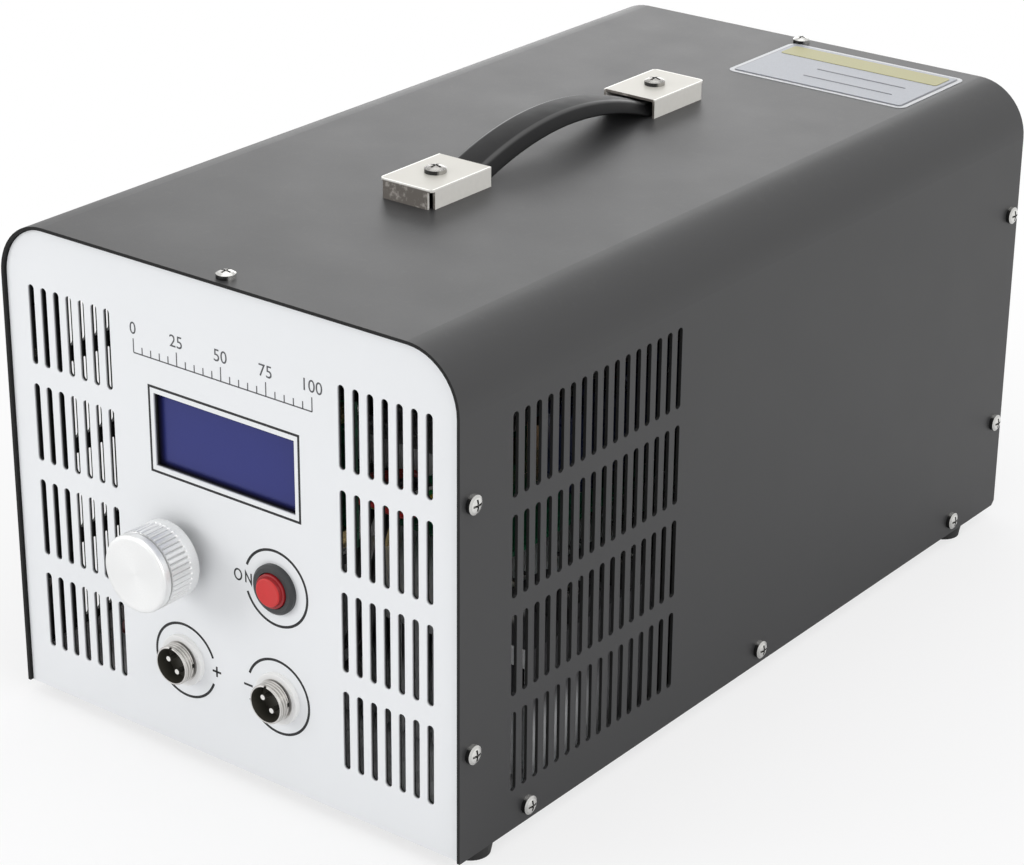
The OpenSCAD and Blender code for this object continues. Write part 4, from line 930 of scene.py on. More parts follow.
def dress(finish: Finish, *nodes: str) -> None:
    """Gives solids of the frame a finish.

    Args:
        finish: The finish.
        nodes: Names of the solids.
    """
    for name in nodes:
        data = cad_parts[name].data
        data.materials.clear()
        data.materials.append(finish.material())
        LOG.info("solid %s: %s", name, finish.name)


def middle(node: str) -> Vector:
    """The middle of a solid's box."""
    low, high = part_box(node)
    return (low + high) / 2


def smooth_path(points: np.ndarray, steps: int) -> np.ndarray:
    """Points on a Catmull-Rom curve through the given ones.

    Args:
        points: The route's own points.
        steps: New points for each stretch between two of them.

    Returns:
        The curve's points.
    """
    before = np.vstack([points[:1], points[:-2]])
    after = np.vstack([points[2:], points[-1:]])
    b, c = points[:-1], points[1:]
    t = np.linspace(0, 1, steps, endpoint=False)[None, :, None]
    a, b, c, d = (p[:, None, :] for p in (before, b, c, after))
    curve = 2 * b + (c - a) * t + (2 * a - 5 * b + 4 * c - d) * t**2 + (3 * b - a - 3 * c + d) * t**3
    return np.vstack([(curve / 2).reshape(-1, 3), points[-1:]])


def tube(path: np.ndarray, radius: float, sides: int = 14, across: Axis = Axis.X) -> Sheet:
    """A round tube: at each point of the path a circle square to the path's direction.

    Args:
        path: Points of the centre line.
        radius: Radius of the tube.
        sides: Points on each circle.
        across: An axis that the path never runs along.

    Returns:
        The tube's surface, with its ends closed.
    """
    along = np.gradient(path, axis=0)
    along /= np.linalg.norm(along, axis=1, keepdims=True)
    side = np.cross(along, np.eye(3)[across])
    side /= np.linalg.norm(side, axis=1, keepdims=True)
    other = np.cross(along, side)
    turn = np.linspace(0, 2 * np.pi, sides, endpoint=False)[None, :, None]
    rings = path[:, None, :] + radius * (np.cos(turn) * side[:, None] + np.sin(turn) * other[:, None])
    return Sheet(rings, capped=True)


@dataclass(frozen=True)
class Face:
    """A spot on the front panel's face. Places are measured from it to the right, up and out."""

    x: float
    z: float
    y: float

    @property
    def centre(self) -> Pair:
        """The spot's place across and up."""
        return self.x, self.z

    def points(self, right: np.ndarray, up: np.ndarray, out: np.ndarray) -> np.ndarray:
        """Puts local places into the shared frame.

        Args:
            right: Distances to the right.
            up: Distances up.
            out: Distances out of the face.

        Returns:
            Points, with the coordinates on the last axis.
        """
        right, up, out = np.broadcast_arrays(right, up, out)
        return np.stack([self.x + right, self.y - out, self.z + up], axis=-1)

    def revolve(self, profile: Sequence[Pair], sides: int) -> np.ndarray:
        """Turns a profile of radius and height about the spot's axis.

        Args:
            profile: Pairs of radius and height out of the face.
            sides: Points on each ring.

        Returns:
            A grid of points, one ring for each pair.
        """
        radius, out = np.array(profile).T[:, :, None]
        turn = np.linspace(0, 2 * np.pi, sides, endpoint=False)[None, :]
        return self.points(radius * np.cos(turn), radius * np.sin(turn), out)


def front_spot(node: str) -> Face:
    """The spot on the front panel's face that a solid's middle lies behind or before."""
    centre = middle(node)
    return Face(centre.x, centre.z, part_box("front_panel")[0].y)


def fillet(start: Sequence[float], corner: Sequence[float], end: Sequence[float], n: int = 5) -> list:
    """Points on a curve from start to end that a corner pulls, a quadratic Bezier.

    Args:
        start: The curve's first point.
        corner: The point that pulls it.
        end: Its last point.
        n: Number of points.

    Returns:
        The points.
    """
    t = np.linspace(0, 1, n)[:, None]
    a, b, c = (np.array(p, float) for p in (start, corner, end))
    return ((1 - t) ** 2 * a + 2 * t * (1 - t) * b + t**2 * c).tolist()


# Camera and studio
@dataclass(frozen=True)
class ViewPoint:
    """The photograph's camera, fitted to the slot fields of the front and the side."""

    place: Place = (0.51178, -0.67485, 0.43761)
    azimuth: float = 37.606
    elevation: float = 24.004
    roll: float = 0.482
    focal_px: float = 2937.5
    frame_px: int = 1024
    sensor: float = 36.0
    clip: Pair = (0.01, 50.0)

    def make(self) -> None:
        """Makes the camera and sets it as the scene's own."""
        a, e, r = (math.radians(v) for v in (self.azimuth, self.elevation, self.roll))
        back = Vector((math.sin(a) * math.cos(e), -math.cos(a) * math.cos(e), math.sin(e)))
        level = Vector((0, 0, 1)).cross(back).normalized()
        upright = back.cross(level)
        right = math.cos(r) * level + math.sin(r) * upright
        up = math.cos(r) * upright - math.sin(r) * level
        data = bpy.data.cameras.new("view_point")
        data.sensor_width = self.sensor
        data.lens = self.focal_px * self.sensor / self.frame_px
        data.clip_start, data.clip_end = self.clip
        camera = bpy.data.objects.new("view_point", data)
        turn = Matrix((right, up, back)).transposed().to_4x4()
        camera.matrix_world = Matrix.Translation(self.place) @ turn
        bpy.context.scene.collection.objects.link(camera)
        bpy.context.scene.camera = camera


@dataclass(frozen=True)
class Lamp:
    """One soft area lamp, aimed at a point above the middle of the floor."""

    name: str
    place: Place
    size: float
    power: float
    aim: Place = (0.0, 0.0, 0.08)

    def make(self) -> None:
        """Makes the lamp."""
        data = bpy.data.lights.new(self.name, "AREA")
        data.shape = "DISK"
        data.size = self.size
        data.energy = self.power
        lamp = bpy.data.objects.new(self.name, data)
        lamp.visible_camera = False
        turn = (Vector(self.aim) - Vector(self.place)).to_track_quat("-Z", "Y")
        lamp.matrix_world = Matrix.Translation(self.place) @ turn.to_matrix().to_4x4()
        bpy.context.scene.collection.objects.link(lamp)


@dataclass
class Studio:
    """A pale floor, a white surround and soft lamps."""

    ambient: float = 0.7
    floor_radius: float = 8.0
    floor_sides: int = 96
    floor_colour: Colour = (0.86, 0.86, 0.87)
    floor_white: float = 0.7
    fade: Pair = (0.15, 0.42)
    white: Colour = (1.0, 1.0, 1.0)
    lamps: tuple[Lamp, ...] = (
        Lamp("overhead_box", (0.0, 0.1, 1.5), 1.6, 6.0),
        Lamp("left_front_box", (-1.1, -1.3, 0.55), 0.9, 7.6),
        Lamp("right_fill", (1.6, -0.4, 0.9), 1.0, 7.0),
        Lamp("rear_left_box", (-1.1, 1.6, 0.5), 1.2, 6.0),
    )

    @staticmethod
    def ray(shader: Shader, kind: str) -> Signal:
        """1 for rays of one kind."""
        return shader.node("ShaderNodeLightPath", output=f"Is {kind} Ray")

    def seen(self, shader: Shader) -> Signal:
        """Finds the rays that see the white surround: camera, mirror and glass rays.

        Args:
            shader: The nodes of the surround or the floor.

        Returns:
            1 for those rays.
        """
        kinds = ("Camera", "Glossy", "Transmission")
        camera, glossy, glass = (self.ray(shader, kind) for kind in kinds)
        return camera.larger(glossy).larger(glass)

    def make_world(self) -> None:
        """White where it is seen, and a plain soft light on everything else."""
        world = bpy.data.worlds.new("surround")
        world.use_nodes = True
        bpy.context.scene.world = world
        shader = Shader(world.node_tree, "ShaderNodeOutputWorld")
        strength = self.ambient + (1 - self.ambient) * self.seen(shader)
        inputs = {"Color": self.white, "Strength": strength}
        shader.close(shader.node("ShaderNodeBackground", inputs=inputs))

    def make_floor(self) -> None:
        """A wide disc: it takes a light shadow near the object and fades to white further out."""
        turn = np.linspace(0, 2 * np.pi, self.floor_sides, endpoint=False)
        radii = np.array([0.0, self.fade[1], self.floor_radius])[:, None]
        x, y = radii * np.cos(turn), radii * np.sin(turn)
        flat = np.stack([x, y, np.zeros_like(x)], axis=-1)
        mesh = bpy.data.meshes.new("floor")
        mesh.from_pydata(flat.reshape(-1, 3).tolist(), [], grid_faces(*x.shape, False, True).tolist())
        made = bpy.data.materials.new("floor")
        made.use_nodes = True
        shader = Shader(made.node_tree, "ShaderNodeOutputMaterial")
        away = shader.node("ShaderNodeVectorMath", {"operation": "LENGTH"}, {0: shader.place()}, "Value")
        far = away.ramp(*self.fade)
        share = far * self.seen(shader) + self.floor_white * (1 - far) * self.ray(shader, "Camera")
        near = shader.node("ShaderNodeBsdfDiffuse", inputs={"Color": self.floor_colour})
        white = shader.node("ShaderNodeEmission", inputs={"Color": self.white, "Strength": 1.0})
        shader.close(shader.node("ShaderNodeMixShader", inputs={0: share, 1: near, 2: white}))
        mesh.materials.append(made)
        floor = bpy.data.objects.new("floor", mesh)
        bpy.context.scene.collection.objects.link(floor)

    def make(self) -> None:
        """Builds the surround, the floor and the lamps."""
        bpy.context.scene.view_settings.view_transform = "Standard"
        self.make_world()
        self.make_floor()
        for lamp in self.lamps:
            lamp.make()


# The object's sub-assemblies
@dataclass
class Case:
    """Cover, panels, tray, feet and their screws."""

    panel_white: Colour = (0.8, 0.815, 0.83)

    def dress(self) -> None:
        """Finishes the case's solids."""
        face_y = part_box("front_panel")[0].y
        dress(COVER_COAT, "cover")
        dress(REAR_COAT, "rear_panel")
        dress(PanelPaint("panel_paint", self.panel_white, 0.42, face_y), "front_panel")
        dress(TRAY_ZINC, "base_tray")
        dress(HEAD_PLATE, "cover_screws")
        dress(SCREW_PLATE, "panel_screws", "foot_screws")
        dress(FOOT_RUBBER, "feet")


@dataclass
class FrontPrint:
    """Screen print on the panel: window line, rings with a gap, signs and a plain scale."""

    button: Face
    plus: Face
    minus: Face
    window: Face
    film: float = 0.03 * MM
    film_foot: float = 0.2
    line: float = 0.75 * MM
    mitre_limit: float = 0.3
    window_size: Pair = (55.6 * MM, 25.9 * MM)
    ring_line: float = 0.8 * MM
    ring_radius: float = 11.5 * MM
    ring_shift: float = 0.5 * MM
    ring_steps: int = 120
    gap: float = math.radians(21)
    sign_reach: float = 11.4 * MM
    sign_half: float = 1.65 * MM
    sign_line: float = 0.9
    plus_shift: float = 1.2 * MM
    letter: float = 3.25 * MM
    letter_line: float = 0.7
    letter_steps: int = 40
    o_half: float = 1.3 * MM
    o_shift: float = 2.8 * MM
    n_wide: float = 2.05 * MM
    n_shift: float = 0.1 * MM
    scale_z: float = 21.5 * MM
    scale_half: float = 33 * MM
    scale_line: float = 0.5
    ticks: int = 21
    tick_group: int = 5
    tick_high: Pair = (2.2 * MM, 4.2 * MM)
    number_step: int = 25
    number_size: float = 5.2 * MM
    number_gap: float = 5.6 * MM

    def stroke(
        self, name: str, spot: Face, path: Sequence[Sequence[float]], width: float,
        closed: bool = False, ink: Finish = PRINT_INK,
    ) -> None:
        """Prints a line: the path is offset to both sides, mitred at its bends.

        Args:
            name: Name of the piece.
            spot: The place that the path is measured from.
            path: Points to the right and up.
            width: Width of the line.
            closed: Whether the path is a loop.
            ink: The ink.
        """
        p = np.array(path, float)
        ahead = np.roll(p, -1, axis=0) - p
        behind = p - np.roll(p, 1, axis=0)
        if not closed:
            ahead[-1], behind[0] = behind[-1], ahead[0]
        ahead /= np.linalg.norm(ahead, axis=1, keepdims=True)
        behind /= np.linalg.norm(behind, axis=1, keepdims=True)
        turn = ahead + behind
        turn /= np.linalg.norm(turn, axis=1, keepdims=True)
        across = np.stack([-turn[:, 1], turn[:, 0]], axis=1)
        across *= width / 2 / np.maximum(self.mitre_limit, np.sum(turn * ahead, axis=1))[:, None]
        low, high = p - across, p + across
        ring = np.stack([low, high, high, low], axis=1)
        out = np.array([self.film_foot, self.film_foot, 1.0, 1.0])[None, :] * self.film
        points = spot.points(ring[..., 0], ring[..., 1], out)
        add_piece(Sheet(points, wrap_rows=closed, capped=not closed).piece(name, ink), Body.CASE)

    def arc(self, name: str, spot: Face, start: float, end: float) -> None:
        """Prints part of a ring.

        Args:
            name: Name of the piece.
            spot: The ring's middle.
            start: The angle where it starts.
            end: The angle where it ends.
        """
        turn = np.linspace(start, end, self.ring_steps)
        path = self.ring_radius * np.stack([np.cos(turn), np.sin(turn)], axis=1)
        self.stroke(name, spot, path, self.ring_line)

    def make_window_line(self) -> None:
        """The plain line round the display window."""
        w, h = (v / 2 for v in self.window_size)
        path = [(-w, -h), (w, -h), (w, h), (-w, h)]
        self.stroke("print_window_line", self.window, path, self.line, closed=True)

    def make_rings(self) -> None:
        """Three rings, each open on the side of its sign."""
        plus, minus, shift = self.plus, self.minus, self.ring_shift
        plus_ring = Face(plus.x + shift, plus.z - shift / 2, plus.y)
        minus_ring = Face(minus.x - shift / 2, minus.z, minus.y)
        left = (self.gap - math.pi, math.pi - self.gap)
        self.arc("print_plus_ring", plus_ring, self.gap, 2 * math.pi - self.gap)
        self.arc("print_minus_ring", minus_ring, *left)
        self.arc("print_button_ring", self.button, *left)
        self.make_signs(plus, minus_ring)
        self.make_on()

    def make_signs(self, plus: Face, minus: Face) -> None:
        """A plus in the first ring's gap and a minus in the second one's.

        Args:
            plus: The place that the plus is measured from.
            minus: The place that the minus is measured from.
        """
        s, width = self.sign_half, self.sign_line * self.line
        x = self.sign_reach + self.plus_shift
        self.stroke("print_plus_bar", plus, [(x - s, 0), (x + s, 0)], width)
        self.stroke("print_plus_stem", plus, [(x, -s), (x, s)], width)
        x = -self.sign_reach
        self.stroke("print_minus_bar", minus, [(x - s, 0), (x + s, 0)], width)

    def make_on(self) -> None:
        """The letters O, an ellipse, and N, a bent line, in the button ring's gap."""
        h, width = self.letter / 2, self.letter_line * self.line
        turn = np.linspace(0, 2 * np.pi, self.letter_steps, endpoint=False)
        o = np.stack([self.o_half * np.cos(turn), h * np.sin(turn)], axis=1)
        o = o - (self.sign_reach + self.o_shift, 0)
        self.stroke("print_on_o", self.button, o, width, closed=True)
        n = np.array([(0, -h), (0, h), (self.n_wide, -h), (self.n_wide, h)])
        n = n - (self.sign_reach - self.n_shift, 0)
        self.stroke("print_on_n", self.button, n, width)

    def make_scale(self) -> None:
        """A plain ruled scale above the window, with a longer tick and a number at each fifth place."""
        spot, base, width = self.window, self.scale_z, self.scale_line * self.line
        ends = [(-self.scale_half, base), (self.scale_half, base)]
        self.stroke("print_scale_line", spot, ends, width, ink=SCALE_INK)
        places = np.linspace(-self.scale_half, self.scale_half, self.ticks)
        for k, x in enumerate(places):
            top = base + self.tick_high[k % self.tick_group == 0]
            self.stroke(f"print_tick_{k:02d}", spot, [(x, base), (x, top)], width, ink=SCALE_INK)
        for k, x in enumerate(places[::self.tick_group]):
            digits = str(self.number_step * k)
            self.number(f"print_number_{k}", digits, spot, x, base + self.number_gap)

    def number(self, name: str, text: str, spot: Face, x: float, low: float) -> None:
        """Prints a plain number, centred on x.

        Args:
            name: Name of the piece.
            text: The digits.
            spot: The place that it is measured from.
            x: Its middle, to the right.
            low: Its foot, up.
        """
        curve = bpy.data.curves.new(name, "FONT")
        curve.body = text
        curve.size = self.number_size
        curve.align_x = "CENTER"
        half = 0.4 * self.film
        curve.extrude = half
        curve.resolution_u = 6
        letters = bpy.data.objects.new(name + "_curve", curve)
        bpy.context.scene.collection.objects.link(letters)
        graph = bpy.context.evaluated_depsgraph_get()
        mesh = bpy.data.meshes.new_from_object(letters.evaluated_get(graph))
        bpy.data.objects.remove(letters)
        mesh.materials.clear()
        flat = np.zeros(len(mesh.vertices) * 3, np.float32)
        mesh.vertices.foreach_get("co", flat)
        flat = flat.reshape(-1, 3)
        placed = spot.points(flat[:, 0] + x, flat[:, 1] + low, flat[:, 2] + self.film - half)
        mesh.vertices.foreach_set("co", placed.astype(np.float32).ravel())
        add_piece(finish_mesh(mesh, name, [SCALE_INK]), Body.CASE)

    def make(self) -> None:
        """Prints everything."""
        self.make_window_line()
        self.make_rings()
        self.make_scale()


@dataclass
class Handle:
    """Strap, its two folded caps and their screws."""

    thick: float = 4.2 * MM
    flat: float = 4.5 * MM
    edge: float = 1.7 * MM
    crown: float = 0.2 * MM
    foot: float = 0.6 * MM
    edge_points: int = 7
    top_points: int = 15
    arch_points: int = 65
    nickel: Colour = (0.88, 0.86, 0.81)

    def strap_section(self, half: float) -> np.ndarray:
        """A section with bevelled sides, round upper edges, a crowned top and small lower edges.

        Args:
            half: Half the strap's width along its bottom.

        Returns:
            Points across and up, as a closed loop.
        """
        foot, t = self.foot, self.thick
        corner = np.array([self.flat + 0.4 * self.edge, t - self.crown])
        side = np.array([half, foot]) - corner
        start = corner + self.edge * side / np.linalg.norm(side)
        end = (self.flat - 0.5 * self.edge, t - self.crown)
        rim = fillet(start, corner, end, self.edge_points)
        inner = rim[-1][0]
        x = np.linspace(inner, -inner, self.top_points)[1:-1]
        top = np.stack([x, t - self.crown * (x / inner) ** 2], axis=1).tolist()
        low = fillet((half - foot, 0), (half, 0), (half, foot))
        mirrored = [[(-a, b) for a, b in reversed(part)] for part in (rim, low)]
        return np.array([*low, *rim, *top, *mirrored[0], *mirrored[1]])

    def make_strap(self) -> None:
        """Carries the section along the arch, a parabola between the two cap mouths."""
        low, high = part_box("handle_strap")
        centre = middle("handle_strap").y
        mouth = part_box("handle_cap_rear")[0].y - centre
        rise = high.z - low.z - self.thick
        reach = (high.y - low.y) / 2
        y = np.concatenate([[-reach], np.linspace(-mouth, mouth, self.arch_points), [reach]])
        arch = rise * np.maximum(0, 1 - (y / mouth) ** 2)
        slope = np.where(np.abs(y) < mouth, np.arctan(-2 * rise * y / mouth**2), 0)
        across, up = self.strap_section((high.x - low.x) / 2).T[:, None, :]
        lean = slope[:, None]
        points = np.stack(np.broadcast_arrays(
            across,
            centre + y[:, None] - up * np.sin(lean),
            low.z + arch[:, None] + up * np.cos(lean),
        ), axis=-1)
        strap = Sheet(points, capped=True, crease=50).piece("strap", STRAP_RUBBER)
        add_piece(strap, Body.CASE, ["handle_strap"])

    def make(self) -> None:
        """Builds the strap, and finishes the caps and the screws."""
        self.make_strap()
        low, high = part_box("handle_cap_front")[0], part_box("handle_cap_rear")[1]
        centre, half = (low + high) / 2, (high - low) / 2
        nickel = CapNickel("cap_nickel", self.nickel, 0.45, tuple(centre), tuple(half))
        dress(nickel, "handle_cap_front", "handle_cap_rear")
        dress(HANDLE_PLATE, "handle_screws")
        dress(SCREW_PLATE, "handle_nuts")


@dataclass
class Display:
    """Display module and control board behind the window."""

    blue: Colour = (0.02, 0.027, 0.172)

    def dress(self) -> None:
        """Finishes the display's and the control board's solids."""
        centre = middle("display_glass")
        glass = DisplayGlass("display_glass", self.blue, 0.2, (centre.x, centre.z))
        dress(glass, "display_glass")
        dress(FRAME_BLACK, "display_frame")
        dress(LIGHT_GUIDE, "display_backlight")
        dress(BOARD_GREEN, "control_board")
        dress(CHIP_BLACK, "control_chips")
        dress(POST_BRASS, "board_posts")
        dress(SCREW_PLATE, "board_screws")


@dataclass
class Knob:
    """Turned and fluted knob on its encoder."""

    face: Face
    base: float
    front: float
    radius: float
    flutes: int = 44
    flute_sides: int = 8
    flute_depth: float = 0.5 * MM
    flute_power: float = 0.8
    flute_inset: Pair = (3.6 * MM, 3.6 * MM)
    flute_lip: float = 0.35 * MM
    flute_fade: float = 0.3 * MM
    flute_rows: int = 7
    lip_rows: int = 5
    chamfer: float = 0.8 * MM
    chamfer_pull: float = 0.2
    groove_back: float = 2.6 * MM
    groove_wide: float = 0.9 * MM
    groove_deep: float = 0.5 * MM
    groove_slant: float = 0.15 * MM
    bore: float = 3.1 * MM
    recess: Pair = (8.5 * MM, 2.6 * MM)
    dish: float = 0.25 * MM
    dish_middle: float = 0.3 * MM
    dish_rows: int = 14
    rim_slack: float = 0.001 * MM
    aluminium: Colour = (0.9, 0.905, 0.9)

    @property
    def flute_ends(self) -> Pair:
        """Heights at which the flutes start and end."""
        return self.base + self.flute_inset[0], self.front - self.flute_inset[1]

    def profile(self) -> np.ndarray:
        """The knob's half section, from the shaft's hole at the back to the middle of the face.

        Returns:
            Pairs of radius and height; the face is dished by a parabola.
        """
        r, b, f, c = self.radius, self.base, self.front, self.chamfer
        pull = self.chamfer_pull * c
        wide, floor = self.recess[0], b + self.recess[1]
        low, high = f - self.groove_back - self.groove_wide, f - self.groove_back
        start, end = self.flute_ends
        lips = np.linspace(-self.flute_lip, self.flute_lip, self.lip_rows)
        flutes = np.linspace(start, end, self.flute_rows)
        steps = np.unique(np.concatenate([flutes, start + lips, end + lips]))
        dish = np.linspace(r - c, self.dish_middle, self.dish_rows)
        return np.array([
            (self.bore, floor), (wide, floor), (wide, b),
            (r - c, b), *fillet((r - c, b), (r - pull, b + pull), (r, b + c)),
            *[(r, z) for z in steps],
            (r, low), (r - self.groove_deep, low + self.groove_slant),
            (r - self.groove_deep, high - self.groove_slant), (r, high),
            *fillet((r, f - c), (r - pull, f - pull), (r - c, f)),
            *[(x, f - self.dish * (1 - (x / (r - c)) ** 2)) for x in dish],
        ])

    def make(self) -> None:
        """Turns the section and sinks the flutes: each is a round dip in the radius."""
        radius, out = self.profile().T[:, :, None]
        turn = np.linspace(0, 2 * np.pi, self.flutes * self.flute_sides, endpoint=False)[None, :]
        start, end = self.flute_ends
        after = np.clip((out - start) / self.flute_fade + 0.5, 0, 1)
        before = np.clip((end - out) / self.flute_fade + 0.5, 0, 1)
        dip = np.maximum(0, np.cos(self.flutes * turn)) ** self.flute_power
        on_rim = radius > self.radius - self.rim_slack
        radius = radius - np.where(on_rim, after * before * dip * self.flute_depth, 0)
        points = self.face.points(radius * np.cos(turn), radius * np.sin(turn), out)
        face_y = self.face.y - self.front
        metal = SpunMetal("knob_metal", self.aluminium, 0.36, self.face.centre, self.radius, face_y)
        piece = Sheet(points, capped=True, crease=32).piece("turned_knob", metal)
        add_piece(piece, Body.KNOB, ["knob"])
        dress(SPRING_STEEL, "encoder_shaft", "encoder_body", "encoder_nut")
        dress(DARK_OXIDE, "knob_set_screw")
        dress(NYLON, "encoder_plunger")


@dataclass
class PushButton:
    """Red cap with a raised step in a black bezel."""

    face: Face
    radius: float
    proud: float
    back: float = -5 * MM
    step: float = 0.9 * MM
    step_high: float = 1.1 * MM
    step_slant: float = 0.15 * MM
    edge: float = 0.35 * MM
    top_edge: float = 0.42 * MM
    dish: float = 0.15 * MM
    middle: float = 0.2 * MM
    dish_rows: int = 8
    skirt_rows: tuple[int, int] = (1, 8)
    sides: int = 96
    wire: float = 0.7 * MM
    turns: int = 5
    turn_steps: int = 24
    wire_sides: int = 10

    def make_spring(self) -> None:
        """Winds the spring as one fixed coil in place of the solid, which it hides."""
        low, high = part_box("button_spring")
        x, _, z = (low + high) / 2
        coil = (high.x - low.x - self.wire) / 2
        turn = np.linspace(0, 2 * np.pi * self.turns, self.turn_steps * self.turns + 1)
        y = np.linspace(high.y - self.wire / 2, low.y + self.wire / 2, len(turn))
        path = np.stack([x + coil * np.cos(turn), y, z + coil * np.sin(turn)], axis=1)
        coil_tube = tube(path, self.wire / 2, self.wire_sides, Axis.Y)
        spring = coil_tube.piece("coil_spring", SPRING_STEEL)
        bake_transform(spring)
        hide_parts("button_spring")

    def make(self) -> None:
        """Turns the cap with round edges, winds the spring and finishes the bezel."""
        r, p, s, e = self.radius, self.proud, self.radius - self.step, self.edge
        ledge = p - self.step_high
        dish = np.linspace(s - 2 * e, self.middle, self.dish_rows)
        profile = [
            (self.middle, self.back), (r, self.back),
            *fillet((r, ledge - e), (r, ledge), (r - e, ledge)),
            (s + self.step_slant, ledge),
            *fillet((s, p - self.top_edge), (s, p), (s - self.top_edge, p)),
            *[(x, p - self.dish * (1 - (x / s) ** 2)) for x in dish],
        ]
        rings = self.face.revolve(profile, self.sides)
        # The skirt and step rows take the darker red as painted shade.
        cap = Sheet(rings, capped=True, second_rows=self.skirt_rows)
        cap = cap.piece("red_cap", BUTTON_RED, BUTTON_SKIRT_SHADE)
        add_piece(cap, Body.BUTTON, ["button_cap"])
        dress(BEZEL_BLACK, "button_housing", "button_nut")
        self.make_spring()


@dataclass
class ScrewSocket:
    """Two-pin screw socket: threaded nickel shell, insulator, pins and nut."""

    name: str
    face: Face
    back: float
    rim: float
    radius: float = 6.0 * MM
    bore: float = 5.3 * MM
    bore_edge: float = 0.2 * MM
    rim_edge: tuple[Pair, ...] = ((0.1 * MM, 0.25 * MM), (0.15 * MM, 0.0), (0.4 * MM, 0.0))
    flange: Pair = (7.8 * MM, 1.6 * MM)
    flange_edge: float = 0.3 * MM
    pitch: float = 1.0 * MM
    pitch_rows: int = 8
    thread_deep: float = 0.4 * MM
    thread_inset: Pair = (0.05 * MM, 0.3 * MM)
    relief: Pair = (0.6 * MM, 0.6 * MM)
    key: Pair = (1.1 * MM, 0.9 * MM)
    key_wall: float = 0.3 * MM
    notch: Pair = (1.3 * MM, 1.5 * MM)
    notch_wall: float = 0.1 * MM
    sides: int = 120
    cut_gap: float = 1e-4
    nickel: Colour = (0.66, 0.645, 0.62)

    def profile(self) -> tuple[np.ndarray, np.ndarray]:
        """The shell's closed section, and a mark on the rows that carry the thread.

        Returns:
            Pairs of radius and height, and 1 on thread rows.
        """
        r, rim, bore = self.radius, self.rim, self.bore
        wide, thick = self.flange
        deep, relief = self.relief
        edge, lip = self.flange_edge, self.bore_edge
        first, last = self.thread_inset
        turns = np.arange(thick + relief + first, rim - last, self.pitch / self.pitch_rows)
        lead = [
            (r, self.back), (r, 0.0), (wide, 0.0),
            *fillet((wide, thick - edge), (wide, thick), (wide - edge, thick)),
            (r - deep, thick), (r - deep, thick + relief),
        ]
        tail = [
            *fillet(*[(r - inward, rim - below) for inward, below in self.rim_edge]),
            *fillet((bore + lip, rim), (bore, rim), (bore, rim - lip)),
            (bore, self.back),
        ]
        rows = np.array([*lead, *[(r, z) for z in turns], *tail])
        mark = np.array([0] * len(lead) + [1] * len(turns) + [0] * len(tail))
        return rows, mark

    def make(self) -> None:
        """Turns the section; the thread is a triangle wave that climbs one pitch a turn.

        The key slot and the notch are cut by moving the points between their edges.
        """
        rows, mark = self.profile()
        half = math.asin(self.key[0] / 2 / self.radius)
        reach = math.asin(self.notch[0] / self.radius)
        edges = np.array([np.pi / 2 - half, np.pi / 2 + half, reach])
        turn = np.linspace(0, 2 * np.pi, self.sides, endpoint=False)
        turn = np.unique(np.concatenate([turn, edges - self.cut_gap, edges + self.cut_gap]))[None, :]
        radius, out = rows.T[:, :, None]
        phase = out / self.pitch - turn / (2 * np.pi)
        wave = 2 * np.abs(phase - np.floor(phase) - 0.5)
        radius = radius - mark[:, None] * self.thread_deep * (1 - wave)
        floor = self.rim - self.key[1]
        keyed = (np.abs(turn - np.pi / 2) < half) & (out > floor)
        out = np.where(keyed, floor, out)
        outside = keyed & (radius > self.bore + self.key_wall)
        radius = np.where(outside, self.radius - self.thread_deep, radius)
        foot, wall = self.flange[1], self.bore + self.notch_wall
        notched = (turn < reach) & (out > foot) & (out < foot + self.notch[1])
        radius = np.where(notched & (radius > wall), wall, radius)
        points = self.face.points(radius * np.cos(turn), radius * np.sin(turn), out)
        dark = (len(rows) - 2, len(rows))
        shell = Sheet(points, wrap_rows=True, crease=28, second_rows=dark)
        plate = ThreadPlate(f"{self.name}_thread_plate", self.nickel, 0.32, self.face.centre)
        piece = shell.piece(f"{self.name}_threaded_shell", plate, INSERT_BLACK)
        add_piece(piece, Body.CASE, [f"{self.name}_socket_shell"])
        dress(INSERT_BLACK, f"{self.name}_socket_insert")
        dress(PIN_SILVER, f"{self.name}_socket_pins")
        dress(SOCKET_NICKEL, f"{self.name}_socket_nut")


@dataclass(frozen=True)
class LeadPair:
    """The two leads of a socket. Its lengths are in millimetres, from the middle of the cups."""

    name: str
    slot: str
    colour: Colour
    via: tuple[Place, ...]
    land_left: float
    landing: tuple[Pair, ...]
    beside: Place


PLUS_LEADS = LeadPair(
    "plus",
    "lead_red",
    (0.22, 0.022, 0.018),
    (
        (-14, 10, -6), (-34, 9, -13), (-47, 10, -18), (-52, 20, -16),
        (-44, 34, 2), (-18, 46, 24), (8, 55, 34),
    ),
    land_left=20,
    landing=((0, 8), (0, 4), (0, 0)),
    beside=(0, -1, 0),
)
MINUS_LEADS = LeadPair(
    "minus",
    "lead_black",
    (0.02, 0.02, 0.021),
    ((4, 12, 6), (4, 17, 14), (0, 22, 23), (-6, 34, 32), (-12, 48, 36)),
    land_left=14,
    landing=((3, 8), (0, 6), (0, 3), (0, 0)),
    beside=(-1, 0, 0),
)


